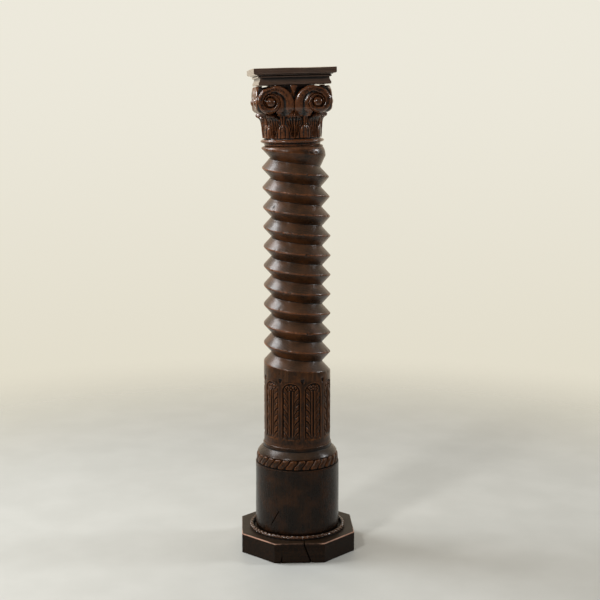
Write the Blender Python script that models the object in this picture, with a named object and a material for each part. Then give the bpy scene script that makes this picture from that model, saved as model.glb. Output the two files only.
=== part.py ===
"""Column made from a carved oak press screw: plinth, foot ring, trunk, volute capital and abacus.

Metres, +Z up. The origin is at the middle of the plinth's underside, and -Y is the front.
"""

import math

import bmesh
import bpy
from mathutils import Matrix, Vector

# Clearance between pieces that rest on or beside each other
SEAT_GAP = 0.0003

# Octagonal plinth board
PLINTH_ACROSS = 0.355
PLINTH_THICK = 0.0625
PLINTH_EDGE = 0.0018
PLINTH_FRONT_HALF = 0.0770
PLINTH_BACK_HALF = 0.0880
CRACK_WIDTH = 0.0030
CRACK_DEPTH = 0.0060
LONG_CRACK_TOP = 0.011
LONG_CRACK_FOOT = 0.034
SHORT_CRACK_AT = -0.056
SHORT_CRACK_RISE = 0.030

# Foot ring that lies on the plinth round the trunk
RING_WIDTH = 0.0165
RING_HEIGHT = 0.0125
RING_PLAY = 0.0030

# Lower drum of the trunk, with its rope band
DRUM_R = 0.1331
DRUM_TAPER = 0.0010
DRUM_HEIGHT = 0.2162
DRUM_FOOT_ROUND = 0.0040
DRUM_FOOT_RISE = 0.012
ROPE_HEIGHT = 0.0325
ROPE_SINK = 0.0018
ROPE_LEAN_IN = 0.0028
ROPE_CUT = 0.0030
ROPE_LIP = 0.0014
ROPE_STRANDS = 30
ROPE_LEAN = math.radians(7.0)

# Rounded shoulder between the two drums, under a small fillet
SHOULDER_HEIGHT = 0.0340
SHOULDER_LEDGE = 0.0061
SHOULDER_CURVE = 1.25
FILLET_PROUD = 0.0030
FILLET_HEIGHT = 0.0130

# Upper drum with its arched panels
PANEL_DRUM_R = 0.1048
PANEL_DRUM_HEIGHT = 0.2414
PANEL_COUNT = 9
PANEL_FIRST_STRIP = math.radians(6.8)
PANEL_STRIP = math.radians(7.7)
PANEL_FOOT = 0.0252
PANEL_SPRING = 0.1800
PANEL_ARCH_RISE = 0.0243
PANEL_DEPTH = 0.0050
PANEL_EDGE = 0.0030
REED_PITCH = math.radians(5.8)
REED_SINK = 0.0018
LEAFLET_SINK = 0.0012
LEAFLET_COUNT = 5
LEAFLET_RISE = 0.011

# Screw thread, one start, falling from left to right across the front
THREAD_PITCH = 0.0607
THREAD_TURNS = 11
THREAD_DEPTH = 0.0265
THREAD_LAND = 0.0024
THREAD_SLIM = 0.0012
THREAD_TOP_WEAR = 0.0015
THREAD_RUN_OUT = math.radians(50.0)
NECK_R = 0.0860
NECK_TOP_R = 0.0875
NECK_HEIGHT = 0.0219

# The thread's last turn is cut back and flattened at its front and right
TOP_LIFT = 0.0085
TOP_LAND = 0.0020
TOP_CUT = 0.0080

# The trunk has warped towards -X in its upper part
WARP_START = 0.90
WARP_LENGTH = 0.38
WARP_SHIFT = 0.0083
WARP_TIP = 0.3

# Capital, leaning and turned a little on the trunk
CAPITAL_LEAN = math.radians(1.6)
CAPITAL_TURN = math.radians(3.0)
CAPITAL_SHIFT = 0.0030
SEAT_SHIFT = 0.0034
CAPITAL_FOOT_R = 0.0865
ASTRAGAL_R = 0.0978
ASTRAGAL_HALF = 0.0060
ASTRAGAL_AT = 0.0143
BELL_FOOT_R = 0.0850
BELL_FOOT_AT = 0.0235
BELL_LIP_R = 0.0885
CORE_R = 0.0735
CORE_RISE = 0.0075
LEAF_COUNT = 8
LEAF_HALF_WIDTH = 0.0225
LEAF_TIP_R = 0.1060
LEAF_TIP_AT = 0.0915
LEAF_RIB = 0.0040
LEAF_EDGE_SINK = 0.75
LEAF_TIP_DROOP = 0.0060
SMALL_LEAF_HEIGHT = 0.0400
SMALL_LEAF_HALF_WIDTH = 0.0100
SMALL_LEAF_PROUD = 0.0045
FACE_AT = 0.1145
EYE_OUT = 0.0706
EYE_AT = 0.1305
EYE_R = 0.0140
EYE_PROUD = 0.0055
EYE_CLEAR = 0.0008
VOLUTE_R = 0.0432
VOLUTE_BAND = 0.0185
VOLUTE_GROOVE = 0.0055
VOLUTE_ROUND = 0.0030
STEM_FOOT_AT = 0.0930
STEM_GROOVE = 0.0070
STEM_SINK = 0.0030
STEM_LIP = 0.0045
DART_HEIGHT = 0.0260
DART_HALF_WIDTH = 0.0090

# Leaf outline: share of its height, share of its half width, and how far it has curled out.
# The last station closes back to the bell above the tip.
LEAF_STATIONS = (
    (0.0, 0.75, -1.0),
    (0.04, 0.75, 0.01),
    (0.30, 0.95, 0.03),
    (0.55, 1.00, 0.07),
    (0.78, 0.85, 0.22),
    (0.94, 0.60, 0.75),
    (1.00, 0.35, 1.00),
    (1.02, 0.45, -1.0),
)

# Square abacus board
ABACUS_TURN = math.radians(4.5)
ABACUS_SHIFT = 0.0020
ABACUS_HALF = 0.1232
ABACUS_FOOT_HALF = 0.1080
ABACUS_THICK = 0.0500
ABACUS_FASCIA = 0.0160
ABACUS_STEP = 0.0107
ABACUS_BEAD = 0.0137
ABACUS_HOLLOW = 0.0197
ABACUS_FOOT_FASCIA = 0.0080

# Facets round the turned forms
TURNED_SIDES = 36
BELL_SIDES = 32
VOLUTE_SIDES = 10
THREAD_SIDES = 32

# Heights that follow from the sizes above
TRUNK_FOOT = PLINTH_THICK + SEAT_GAP
ROPE_FOOT = TRUNK_FOOT + DRUM_HEIGHT
SHOULDER_FOOT = ROPE_FOOT + ROPE_HEIGHT
PANEL_DRUM_FOOT = SHOULDER_FOOT + SHOULDER_HEIGHT
THREAD_FOOT = PANEL_DRUM_FOOT + PANEL_DRUM_HEIGHT
THREAD_TOP = THREAD_FOOT + THREAD_PITCH * THREAD_TURNS
SEAT_Z = THREAD_TOP + NECK_HEIGHT
VOLUTE_TOP = EYE_AT + VOLUTE_R
CAPITAL_HEIGHT = VOLUTE_TOP + CORE_RISE


def clear_scene():
    """Remove every object and its mesh."""
    for obj in list(bpy.data.objects):
        bpy.data.objects.remove(obj, do_unlink=True)
    for mesh in list(bpy.data.meshes):
        bpy.data.meshes.remove(mesh)


def oak(name, colour, roughness):
    """A Principled material for one piece of dark oak."""
    material = bpy.data.materials.new(name)
    material.use_nodes = True
    shader = material.node_tree.nodes["Principled BSDF"]
    shader.inputs["Base Color"].default_value = (*colour, 1.0)
    shader.inputs["Roughness"].default_value = roughness
    shader.inputs["Metallic"].default_value = 0.0
    material.diffuse_color = (*colour, 1.0)
    return material


def make_object(name, points, faces, material=None):
    """A mesh object with its faces turned outwards."""
    mesh = bpy.data.meshes.new(name)
    mesh.from_pydata([tuple(p) for p in points], [], faces)
    work = bmesh.new()
    work.from_mesh(mesh)
    bmesh.ops.remove_doubles(work, verts=work.verts, dist=1e-6)
    bmesh.ops.recalc_face_normals(work, faces=work.faces)
    if work.calc_volume(signed=True) < 0:
        bmesh.ops.reverse_faces(work, faces=work.faces)
    bmesh.ops.triangulate(work, faces=work.faces)
    work.to_mesh(mesh)
    work.free()
    if material:
        mesh.materials.append(material)
    obj = bpy.data.objects.new(name, mesh)
    bpy.context.scene.collection.objects.link(obj)
    return obj


def shade(obj, angle=40.0):
    """Smooth shading that keeps edges sharper than the angle."""
    obj.data.shade_smooth()
    obj.data.set_sharp_from_angle(angle=math.radians(angle))


def combine(obj, others, operation):
    """Union or cut the object with others, which stay as hidden guides."""
    for other in others:
        other.hide_render = True
        other.display_type = "WIRE"
        modifier = obj.modifiers.new(operation.title(), "BOOLEAN")
        modifier.operation = operation
        modifier.object = other


def polar(radius, angle, z):
    """A point round the axis, its angle running from the front towards +X."""
    return Vector((radius * math.sin(angle), -radius * math.cos(angle), z))


class Skin:
    """Points and faces of a piece that is built ring by ring."""

    def __init__(self):
        self.points = []
        self.faces = []

    def point(self, position):
        self.points.append(Vector(position))
        return len(self.points) - 1

    def ring(self, places):
        """A closed ring from (radius, angle, z) places, as (angle, index) pairs."""
        return [(angle, self.point(polar(radius, angle, z))) for radius, angle, z in places]

    def round_ring(self, radius, z, sides):
        """An even ring, its first point straight behind."""
        turns = [-math.pi + 2 * math.pi * i / sides for i in range(sides)]
        return self.ring([(radius, turn, z) for turn in turns])

    def loft(self, lower, upper):
        """Quads between two rings with the same number of points."""
        count = len(lower)
        for i in range(count):
            j = (i + 1) % count
            self.faces.append((lower[i][1], lower[j][1], upper[j][1], upper[i][1]))

    def zip_rings(self, lower, upper):
        """Triangles between two rings with different numbers of points."""
        start = min(upper, key=lambda pair: abs(pair[0] - lower[0][0]))
        first = upper.index(start)
        upper = upper[first:] + [(a + 2 * math.pi, k) for a, k in upper[:first]]
        lower = lower + [(lower[0][0] + 2 * math.pi, lower[0][1])]
        upper = upper + [(upper[0][0] + 2 * math.pi, upper[0][1])]
        i = 0
        j = 0
        while i < len(lower) - 1 or j < len(upper) - 1:
            next_low = lower[i + 1][0] if i < len(lower) - 1 else math.inf
            next_up = upper[j + 1][0] if j < len(upper) - 1 else math.inf
            if next_low <= next_up:
                self.faces.append((lower[i][1], lower[i + 1][1], upper[j][1]))
                i += 1
            else:
                self.faces.append((lower[i][1], upper[j + 1][1], upper[j][1]))
                j += 1

    def cap(self, ring):
        """One flat face over a ring."""
        self.faces.append(tuple(index for _, index in ring))


def plinth_ring(skin, inset, z):
    """The plinth's outline at one height, its corners cut back less behind than in front."""
    half = PLINTH_ACROSS / 2 - inset
    front = PLINTH_FRONT_HALF - inset * math.tan(math.pi / 8)
    back = PLINTH_BACK_HALF - inset * math.tan(math.pi / 8)
    right = [(front, -half), (half, -front), (half, back), (back, half)]
    corners = right + [(-x, y) for x, y in right[::-1]]
    return skin.ring([(math.hypot(x, y), math.atan2(x, -y), z) for x, y in corners])


def make_plinth(material):
    """Octagonal board with worn edges and two drying cracks in its front."""
    levels = [
        (PLINTH_EDGE, 0.0),
        (0.0, PLINTH_EDGE),
        (0.0, PLINTH_THICK - PLINTH_EDGE),
        (PLINTH_EDGE, PLINTH_THICK),
    ]
    skin = Skin()
    rings = [plinth_ring(skin, inset, z) for inset, z in levels]
    for lower, upper in zip(rings, rings[1:]):
        skin.loft(lower, upper)
    skin.cap(rings[0][::-1])
    skin.cap(rings[-1])
    plinth = make_object("plinth", skin.points, skin.faces, material)
    spill = CRACK_DEPTH
    middle = (LONG_CRACK_TOP + LONG_CRACK_FOOT) / 2
    long_run = [
        (LONG_CRACK_FOOT, -spill),
        (middle - CRACK_WIDTH, PLINTH_THICK / 2),
        (LONG_CRACK_TOP, PLINTH_THICK + spill),
    ]
    short_run = [(SHORT_CRACK_AT, -spill), (SHORT_CRACK_AT + CRACK_WIDTH, SHORT_CRACK_RISE)]
    cutters = [
        crack_cutter("plinth_crack_long", long_run),
        crack_cutter("plinth_crack_short", short_run),
    ]
    combine(plinth, cutters, "DIFFERENCE")
    return plinth


def crack_cutter(name, run):
    """A thin wedge that follows a crack up the plinth's front face."""
    front = -PLINTH_ACROSS / 2
    skin = Skin()
    sections = []
    for x, z in run:
        outer_left = skin.point((x - CRACK_WIDTH, front - CRACK_DEPTH, z))
        outer_right = skin.point((x + CRACK_WIDTH, front - CRACK_DEPTH, z))
        inner = skin.point((x, front + CRACK_DEPTH, z))
        sections.append((outer_left, outer_right, inner))
    for low, high in zip(sections, sections[1:]):
        for i in range(3):
            j = (i + 1) % 3
            skin.faces.append((low[i], low[j], high[j], high[i]))
    skin.faces.append(sections[0][::-1])
    skin.faces.append(sections[-1])
    return make_object(name, skin.points, skin.faces)


def make_foot_ring(material):
    """Half-round moulding that lies on the plinth round the trunk's foot."""
    inner = DRUM_R + RING_PLAY
    middle = inner + RING_WIDTH / 2
    foot = PLINTH_THICK + SEAT_GAP
    wall = RING_HEIGHT - RING_WIDTH / 2
    arc = [math.pi * i / 5 for i in range(6)]
    section = [(inner + RING_WIDTH, foot)]
    section += [
        (middle + RING_WIDTH / 2 * math.cos(a), foot + wall + RING_WIDTH / 2 * math.sin(a)) for a in arc
    ]
    section += [(inner, foot)]
    skin = Skin()
    rings = [skin.round_ring(radius, z, TURNED_SIDES) for radius, z in section]
    for lower, upper in zip(rings, rings[1:] + rings[:1]):
        skin.loft(lower, upper)
    ring = make_object("foot_ring", skin.points, skin.faces, material)
    shade(ring)
    return ring


def warp(position):
    """Move a point of the straight trunk to its place on the warped one."""
    x, y, z = position
    along = max(0.0, z - WARP_START) / WARP_LENGTH
    shift = WARP_SHIFT * along**2
    tilt = WARP_TIP * math.atan(2 * WARP_SHIFT * along / WARP_LENGTH)
    return Vector((x * math.cos(tilt) - shift, y, z + x * math.sin(tilt)))


def seat_frame():
    """The leaning frame in which the capital and the abacus stand."""
    along = (SEAT_Z - WARP_START) / WARP_LENGTH
    centre = Vector((-WARP_SHIFT * along**2 - SEAT_SHIFT, 0.0, SEAT_Z))
    return Matrix.Translation(centre) @ Matrix.Rotation(-CAPITAL_LEAN, 4, "Y")


def crest_radius(z):
    """Radius of the thread's crest, which slims and wears towards the top."""
    share = (z - THREAD_FOOT) / (THREAD_PITCH * THREAD_TURNS)
    share = min(max(share, 0.0), 1.0)
    return PANEL_DRUM_R - THREAD_SLIM * share - THREAD_TOP_WEAR * share**6


def thread_height(turn, angle):
    """Height of the thread's crest, squeezed where it comes close to the seat."""
    z = THREAD_FOOT + THREAD_PITCH * (turn - angle / (2 * math.pi))
    limit = SEAT_Z - NECK_HEIGHT / 2
    room = NECK_HEIGHT * 0.45
    if z > limit:
        z = limit + room * (1 - math.exp(-(z - limit) / room))
    return z


def fade(angle, near, far):
    """Smooth step from 0 at near to 1 at far."""
    share = min(max((angle - near) / (far - near), 0.0), 1.0)
    return share * share * (3 - 2 * share)


def top_flat(angle):
    """How far the last turn's crest is flattened, most at the right."""
    return fade(angle, -math.pi / 2, math.pi / 2) * (1 - fade(angle, math.pi / 2, math.pi))


def thread_column(skin, angle):
    """Points up one line of the thread: shoulder edge, roots and crests, then the neck."""
    fade_in = fade(angle, -math.pi, -math.pi + THREAD_RUN_OUT)
    fade_out = 1 - fade(angle, math.pi - THREAD_RUN_OUT, math.pi)
    column = []
    for turn in range(THREAD_TURNS + 1):
        flat = top_flat(angle) if turn == THREAD_TURNS else 0.0
        land = (THREAD_LAND + TOP_LAND * flat) / 2
        crest = thread_height(turn, angle) + TOP_LIFT * flat
        radius = crest_radius(crest) - TOP_CUT * flat
        if turn == THREAD_TURNS:
            radius = NECK_R + (radius - NECK_R) * fade_in
        if turn > 0:
            column.append(skin.point(polar(radius, angle, crest - land)))
        column.append(skin.point(polar(radius, angle, crest + land)))
        groove = thread_height(turn + 0.5, angle)
        groove = max(groove, crest + 2 * land)
        root = crest_radius(groove) - THREAD_DEPTH
        if turn == 0:
            root = PANEL_DRUM_R + (root - PANEL_DRUM_R) * fade_out
        if turn == THREAD_TURNS - 1:
            root = NECK_R + (root - NECK_R) * fade_in
        if turn == THREAD_TURNS:
            root = NECK_R
        column.append(skin.point(polar(root, angle, groove)))
    return column


def add_thread(skin, base):
    """The screw above the base ring. Returns the ring of points under the seat."""
    sides = THREAD_SIDES
    angles = [-math.pi + 2 * math.pi * i / sides for i in range(sides)]
    columns = [thread_column(skin, angle) for angle in angles]
    seat = seat_frame()
    top = []
    for angle in angles:
        top.append((angle, skin.point(seat @ polar(NECK_TOP_R, angle, 0.0))))
    # At the back each turn meets the one below it, so the last column joins the first a turn lower.
    # What the lowest and the highest turn have more than their neighbours lies on that seam.
    land = THREAD_LAND / 2
    end = math.pi
    low_crest = thread_height(0, end) + land
    low_root = thread_height(0.5, end)
    next_crest = thread_height(1, end) - land
    extra = [skin.point(polar(PANEL_DRUM_R, end, z)) for z in (low_crest, low_root, next_crest)]
    seam = extra + columns[0][:-3]
    for i in range(1, sides - 1):
        join_columns(skin, columns[i], columns[i + 1], base, top, i)
    join_columns(skin, columns[-1], seam, base, top, sides - 1, right_top=columns[0][-3:])
    join_columns(skin, columns[0], columns[1], base, top, 0, left_foot=extra)
    return top


def join_columns(skin, left, right, base, top, index, left_foot=(), right_top=()):
    """Faces between two neighbouring columns, from the base ring to the ring under the seat."""
    after = (index + 1) % len(base)
    foot = [base[index][1], base[after][1], right[0], left[0]]
    foot += list(left_foot)[::-1]
    skin.faces.append(tuple(foot))
    for low_l, high_l, low_r, high_r in zip(left, left[1:], right, right[1:]):
        skin.faces.append((low_l, low_r, high_r, high_l))
    head = [left[-1], right[-1]] + list(right_top)
    head += [top[after][1], top[index][1]]
    skin.faces.append(tuple(head))


def panel_columns():
    """Columns of one panel: share of the half width, depth and whether a leaflet crosses it."""
    half = math.pi / PANEL_COUNT - PANEL_STRIP / 2
    edge = PANEL_EDGE / PANEL_DRUM_R
    side = [
        (half, 0.0, False),
        (half - edge, PANEL_DEPTH, False),
        ((half + REED_PITCH) / 2, LEAFLET_SINK, True),
        (REED_PITCH, PANEL_DEPTH, False),
        (REED_PITCH / 2, REED_SINK, False),
    ]
    left = [(-angle, depth, leaflet) for angle, depth, leaflet in side]
    return half, left + [(0.0, PANEL_DEPTH, False)] + side[::-1]


def panel_rows(half):
    """Rows of one panel from foot to arch, as functions of the column's place."""
    leaf_step = (PANEL_SPRING - PANEL_FOOT) / (2 * LEAFLET_COUNT)

    def arch(angle):
        share = min(abs(angle) / half, 1.0)
        return PANEL_SPRING + PANEL_ARCH_RISE * math.sqrt(1 - share * share)

    rows = [(lambda angle: PANEL_FOOT, 0.0), (lambda angle: PANEL_FOOT + PANEL_EDGE, 1.0)]
    for i in range(1, 2 * LEAFLET_COUNT):
        cut = 2.2 if i % 2 == 0 else 1.0
        level = PANEL_FOOT + PANEL_EDGE + leaf_step * i

        def row(angle, level=level):
            share = abs(angle) / half
            return min(level + LEAFLET_RISE * (share - 0.5), arch(angle) - 2 * PANEL_EDGE)

        rows.append((row, cut))
    rows.append((lambda angle: arch(angle) - PANEL_EDGE, 1.0))
    rows.append((lambda angle: arch(angle), 0.0))
    return rows


def add_panels(skin):
    """Rings of the upper drum with its carved panels, from foot to the plain band above."""
    half, columns = panel_columns()
    pitch = 2 * math.pi / PANEL_COUNT
    first = PANEL_FIRST_STRIP + pitch / 2
    centres = [first + pitch * i for i in range(PANEL_COUNT)]
    centres = sorted(centre - 2 * math.pi if centre > math.pi else centre for centre in centres)
    crown = PANEL_SPRING + PANEL_ARCH_RISE
    rings = [plain_panel_ring(skin, centres, columns, PANEL_DRUM_FOOT)]
    for height, share in panel_rows(half):
        places = []
        for centre in centres:
            for angle, depth, leaflet in columns:
                cut = depth * min(share, 1.0)
                if leaflet and share > 1.0:
                    cut = depth + (share - 1.0) * PANEL_EDGE
                places.append((PANEL_DRUM_R - cut, centre + angle, PANEL_DRUM_FOOT + height(angle)))
        rings.append(skin.ring(places))
    rings.append(plain_panel_ring(skin, centres, columns, PANEL_DRUM_FOOT + crown + PANEL_EDGE))
    for lower, upper in zip(rings, rings[1:]):
        skin.loft(lower, upper)
    return rings[0], rings[-1]


def plain_panel_ring(skin, centres, columns, z):
    """An uncarved ring with the panels' columns."""
    places = [(PANEL_DRUM_R, centre + angle, z) for centre in centres for angle, _, _ in columns]
    return skin.ring(places)


def add_rope(skin):
    """Rings of the rope band, each strand a leaning ridge between two cuts."""
    edge = ROPE_HEIGHT / 6
    rings = []
    for rise, cut_away in ((0.0, True), (edge, False), (ROPE_HEIGHT - edge, False), (ROPE_HEIGHT, True)):
        share = rise / ROPE_HEIGHT
        crown = DRUM_R - DRUM_TAPER - ROPE_SINK - ROPE_LEAN_IN * share * share
        places = []
        for i in range(2 * ROPE_STRANDS):
            turn = -math.pi + math.pi * i / ROPE_STRANDS + ROPE_LEAN * (share - 0.5)
            on_strand = i % 2 == 1 and not cut_away
            places.append((crown if on_strand else crown - ROPE_CUT, turn, ROPE_FOOT + rise))
        rings.append(skin.ring(places))
    for lower, upper in zip(rings, rings[1:]):
        skin.loft(lower, upper)
    return rings[0], rings[-1]


def shoulder_section():
    """The shoulder's section from the rope band up to its fillet, as (radius, z) pairs."""
    wide = DRUM_R - DRUM_TAPER - SHOULDER_LEDGE
    narrow = PANEL_DRUM_R + FILLET_PROUD
    foot = SHOULDER_FOOT + ROPE_LIP
    top = PANEL_DRUM_FOOT - FILLET_HEIGHT
    steps = 5
    section = []
    for i in range(steps + 1):
        rise = i / steps
        swell = 1 - rise**SHOULDER_CURVE
        section.append((narrow + (wide - narrow) * swell, foot + (top - foot) * rise))
    section.append((narrow, PANEL_DRUM_FOOT - FILLET_PROUD))
    return section


def make_trunk(material):
    """The screw's trunk in one piece: drum, rope band, shoulder, panelled drum, thread and neck."""
    skin = Skin()
    foot = skin.round_ring(DRUM_R - DRUM_FOOT_ROUND, TRUNK_FOOT, TURNED_SIDES)
    heel = skin.round_ring(DRUM_R, TRUNK_FOOT + DRUM_FOOT_RISE, TURNED_SIDES)
    drum_top = skin.round_ring(DRUM_R - DRUM_TAPER, ROPE_FOOT - ROPE_LIP, TURNED_SIDES)
    skin.cap(foot[::-1])
    skin.loft(foot, heel)
    skin.loft(heel, drum_top)
    rope_foot, rope_top = add_rope(skin)
    skin.zip_rings(drum_top, rope_foot)
    previous = rope_top
    for radius, z in shoulder_section():
        level = skin.round_ring(radius, z, TURNED_SIDES)
        if previous is rope_top:
            skin.zip_rings(previous, level)
        else:
            skin.loft(previous, level)
        previous = level
    panel_foot, panel_top = add_panels(skin)
    skin.zip_rings(previous, panel_foot)
    base_z = PANEL_DRUM_FOOT + PANEL_SPRING + PANEL_ARCH_RISE + 2 * PANEL_EDGE
    base = skin.round_ring(PANEL_DRUM_R, base_z, THREAD_SIDES)
    skin.zip_rings(panel_top, base)
    neck_start = len(skin.points)
    top = add_thread(skin, base)
    seat_points = {index for _, index in top}
    for i in range(neck_start, len(skin.points)):
        if i not in seat_points:
            skin.points[i] = warp(skin.points[i])
    skin.cap(top)
    trunk = make_object("trunk", skin.points, skin.faces, material)
    shade(trunk, 32.0)
    return trunk


def spiral_radius(turn):
    """Outer radius of the volute's band after the given turn from the top."""
    return VOLUTE_R - VOLUTE_BAND * turn / (2 * math.pi)


class Capital(Skin):
    """Skin of the capital, whose faces are drawn in their own frames: u across, w up, h outwards."""

    def on_face(self, face, side, u, w, h):
        """A point of one half of a face, the left half mirrored."""
        turned = Matrix.Rotation(face * math.pi / 2, 3, "Z") @ Vector((side * u, -h, w))
        return self.point(turned)

    def join(self, first, second):
        """Quads between two lines with the same number of points."""
        for a, b, c, d in zip(first, first[1:], second[1:], second):
            self.faces.append((a, b, c, d))

    def volute(self, face, side):
        """One volute with its eye, and its edge back to the mitre at the corner."""
        sides = VOLUTE_SIDES
        floor = EYE_R + EYE_CLEAR
        turns = [2 * math.pi * i / sides for i in range(sides + 1)]
        third = VOLUTE_BAND / 3

        def place(radius, turn, h):
            u = EYE_OUT + radius * math.sin(turn)
            return self.on_face(face, side, u, EYE_AT + radius * math.cos(turn), h)

        def second(turn, inset):
            return max(spiral_radius(turn + 2 * math.pi) - inset, floor)

        groove = FACE_AT - VOLUTE_GROOVE
        rim = [place(spiral_radius(t), t, FACE_AT - VOLUTE_ROUND) for t in turns[:-1]]
        rim.append(place(spiral_radius(turns[-1]), turns[-1], groove))
        crest = [place(spiral_radius(t) - third, t, FACE_AT) for t in turns]
        inner_rim = [rim[-1]] + [place(second(t, 0), t, groove) for t in turns[1:]]
        inner_crest = [crest[-1]] + [place(second(t, third), t, FACE_AT) for t in turns[1:-1]]
        eye_foot = [place(EYE_R, t, groove) for t in turns[:-1]]
        eye_top = [place(EYE_R * 0.7, t, FACE_AT + EYE_PROUD * 0.7) for t in turns[:-1]]
        apex = place(0.0, 0.0, FACE_AT + EYE_PROUD)
        self.join(rim, crest)
        self.join(crest, inner_rim)
        self.join(inner_rim[:-1], inner_crest)
        self.join(inner_crest, eye_foot)
        self.join(eye_foot + eye_foot[:1], eye_top + eye_top[:1])
        for a, b in zip(eye_top, eye_top[1:] + eye_top[:1]):
            self.faces.append((a, b, apex))
        self.faces.append((inner_rim[-2], inner_rim[-1], eye_foot[0]))
        self.faces.append((inner_rim[-2], eye_foot[0], inner_crest[-1]))
        self.faces.append((inner_crest[-1], eye_foot[0], eye_foot[-1]))
        self.faces.append((inner_rim[-1], crest[-1], eye_foot[0]))
        outer = turns[: sides // 2 + 1]
        reach = [EYE_OUT + spiral_radius(t) * math.sin(t) for t in outer]
        rise = [EYE_AT + spiral_radius(t) * math.cos(t) for t in outer]
        mitre = [self.on_face(face, side, u, w, u) for u, w in zip(reach, rise)]
        self.join(mitre, rim[: len(mitre)])
        return rim, crest[0], mitre

    def stem(self, face, side, rim, crest):
        """Half of a face between its middle and the volute. Returns its lower and upper edges."""
        low = FACE_AT - STEM_GROOVE
        mid = FACE_AT - STEM_SINK
        foot = self.on_face(face, side, 0.0, STEM_FOOT_AT, low)
        waist = self.on_face(face, side, 0.0, EYE_AT - EYE_R, low)
        notch = self.on_face(face, side, 0.0, VOLUTE_TOP - DART_HEIGHT, low)
        lip = self.on_face(face, side, DART_HALF_WIDTH, VOLUTE_TOP - STEM_LIP * 2, mid)
        bow = self.on_face(face, side, EYE_OUT / 2, VOLUTE_TOP - STEM_LIP, mid)
        dart = self.on_face(face, side, 0.0, VOLUTE_TOP - STEM_LIP * 2, low - STEM_SINK)
        edge = [foot, waist, notch, lip, bow, rim[0]]
        ridge_h = FACE_AT - STEM_SINK / 2
        inner = [rim[5], *rim[6:11]]
        ridge = [self.on_face(face, side, EYE_OUT * 0.42, STEM_FOOT_AT + 0.0045, low)]
        for a, b in zip(edge[1:-1], inner[1:-1]):
            middle = (self.points[a] + self.points[b]) / 2
            local = Matrix.Rotation(-face * math.pi / 2, 3, "Z") @ middle
            ridge.append(self.on_face(face, side, abs(local.x), local.z, ridge_h))
        ridge.append(crest)
        self.join(edge, ridge)
        self.join(ridge, inner)
        self.faces.append((notch, lip, dart))
        return [foot, ridge[0], rim[5]], [dart, lip, bow, rim[0]]

    def edge_ring(self, indices):
        """A closed ring from loose points, sorted by their angle round the axis."""
        spots = {}
        for index in indices:
            place = self.points[index]
            key = (round(place.x, 5), round(place.y, 5))
            spots.setdefault(key, (math.atan2(place.x, -place.y), index))
        return sorted(spots.values())

    def leafy_bell(self):
        """Rings of the bell with two ranks of leaves in relief, from its foot to its lip."""
        sector = 2 * math.pi / LEAF_COUNT
        large = [-1.0, -0.5, 0.0, 0.5, 1.0]
        small = [-1.0, 0.0, 1.0]
        rings = []
        for share, width, curl in LEAF_STATIONS:
            places = []
            wall = BELL_FOOT_R + (BELL_LIP_R - BELL_FOOT_R) * share
            z = BELL_FOOT_AT + (LEAF_TIP_AT - BELL_FOOT_AT) * share
            rib = LEAF_RIB if curl >= 0 else 0.0
            out = (LEAF_TIP_R - wall - LEAF_RIB) * max(curl, 0.0)
            tall = share * (LEAF_TIP_AT - BELL_FOOT_AT) < SMALL_LEAF_HEIGHT and curl > 0
            for i in range(LEAF_COUNT):
                centre = -math.pi + sector * (i + 0.5)
                for across in large:
                    angle = across * LEAF_HALF_WIDTH * width / wall
                    sink = LEAF_EDGE_SINK * across * across
                    droop = LEAF_TIP_DROOP * max(curl, 0.0) * across * across
                    radius = wall + (rib + out) * (1 - sink)
                    places.append((radius, centre - sector / 2 + angle, z - droop))
                for across in small:
                    angle = across * SMALL_LEAF_HALF_WIDTH * min(width, 1.0) / wall
                    proud = SMALL_LEAF_PROUD * (1 - 0.8 * across * across) if tall else 0.0
                    places.append((wall + proud, centre + angle, z))
            rings.append(self.ring([(r, a, z) for r, a, z in places]))
        for lower, upper in zip(rings, rings[1:]):
            self.loft(lower, upper)
        return rings[0], rings[-1]


def make_capital(material):
    """Capital in one piece: astragal, bell with two ranks of leaves, and a pair of volutes on each face."""
    skin = Capital()
    section = [
        (CAPITAL_FOOT_R, SEAT_GAP),
        (CAPITAL_FOOT_R, ASTRAGAL_AT - ASTRAGAL_HALF),
        (ASTRAGAL_R, ASTRAGAL_AT - ASTRAGAL_HALF / 2),
        (ASTRAGAL_R, ASTRAGAL_AT + ASTRAGAL_HALF / 2),
        (CAPITAL_FOOT_R, ASTRAGAL_AT + ASTRAGAL_HALF),
    ]
    rings = [skin.round_ring(radius, z, BELL_SIDES) for radius, z in section]
    for lower, upper in zip(rings, rings[1:]):
        skin.loft(lower, upper)
    skin.cap(rings[0][::-1])
    bell_foot, bell_lip = skin.leafy_bell()
    skin.zip_rings(rings[-1], bell_foot)
    under = []
    over = []
    for face in range(4):
        for side in (-1, 1):
            rim, crest, mitre = skin.volute(face, side)
            low, high = skin.stem(face, side, rim, crest)
            under += low + [mitre[-1]]
            over += high + [mitre[0]]
    skin.zip_rings(bell_lip, skin.edge_ring(under))
    core = skin.round_ring(CORE_R, VOLUTE_TOP - STEM_LIP, BELL_SIDES)
    skin.zip_rings(skin.edge_ring(over), core)
    lip = skin.round_ring(CORE_R, CAPITAL_HEIGHT, BELL_SIDES)
    skin.loft(core, lip)
    skin.cap(lip)
    capital = make_object("capital", skin.points, skin.faces, material)
    frame = seat_frame() @ Matrix.Translation((-CAPITAL_SHIFT, 0.0, 0.0))
    capital.matrix_world = frame @ Matrix.Rotation(CAPITAL_TURN, 4, "Z")
    shade(capital, 35.0)
    return capital


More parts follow.
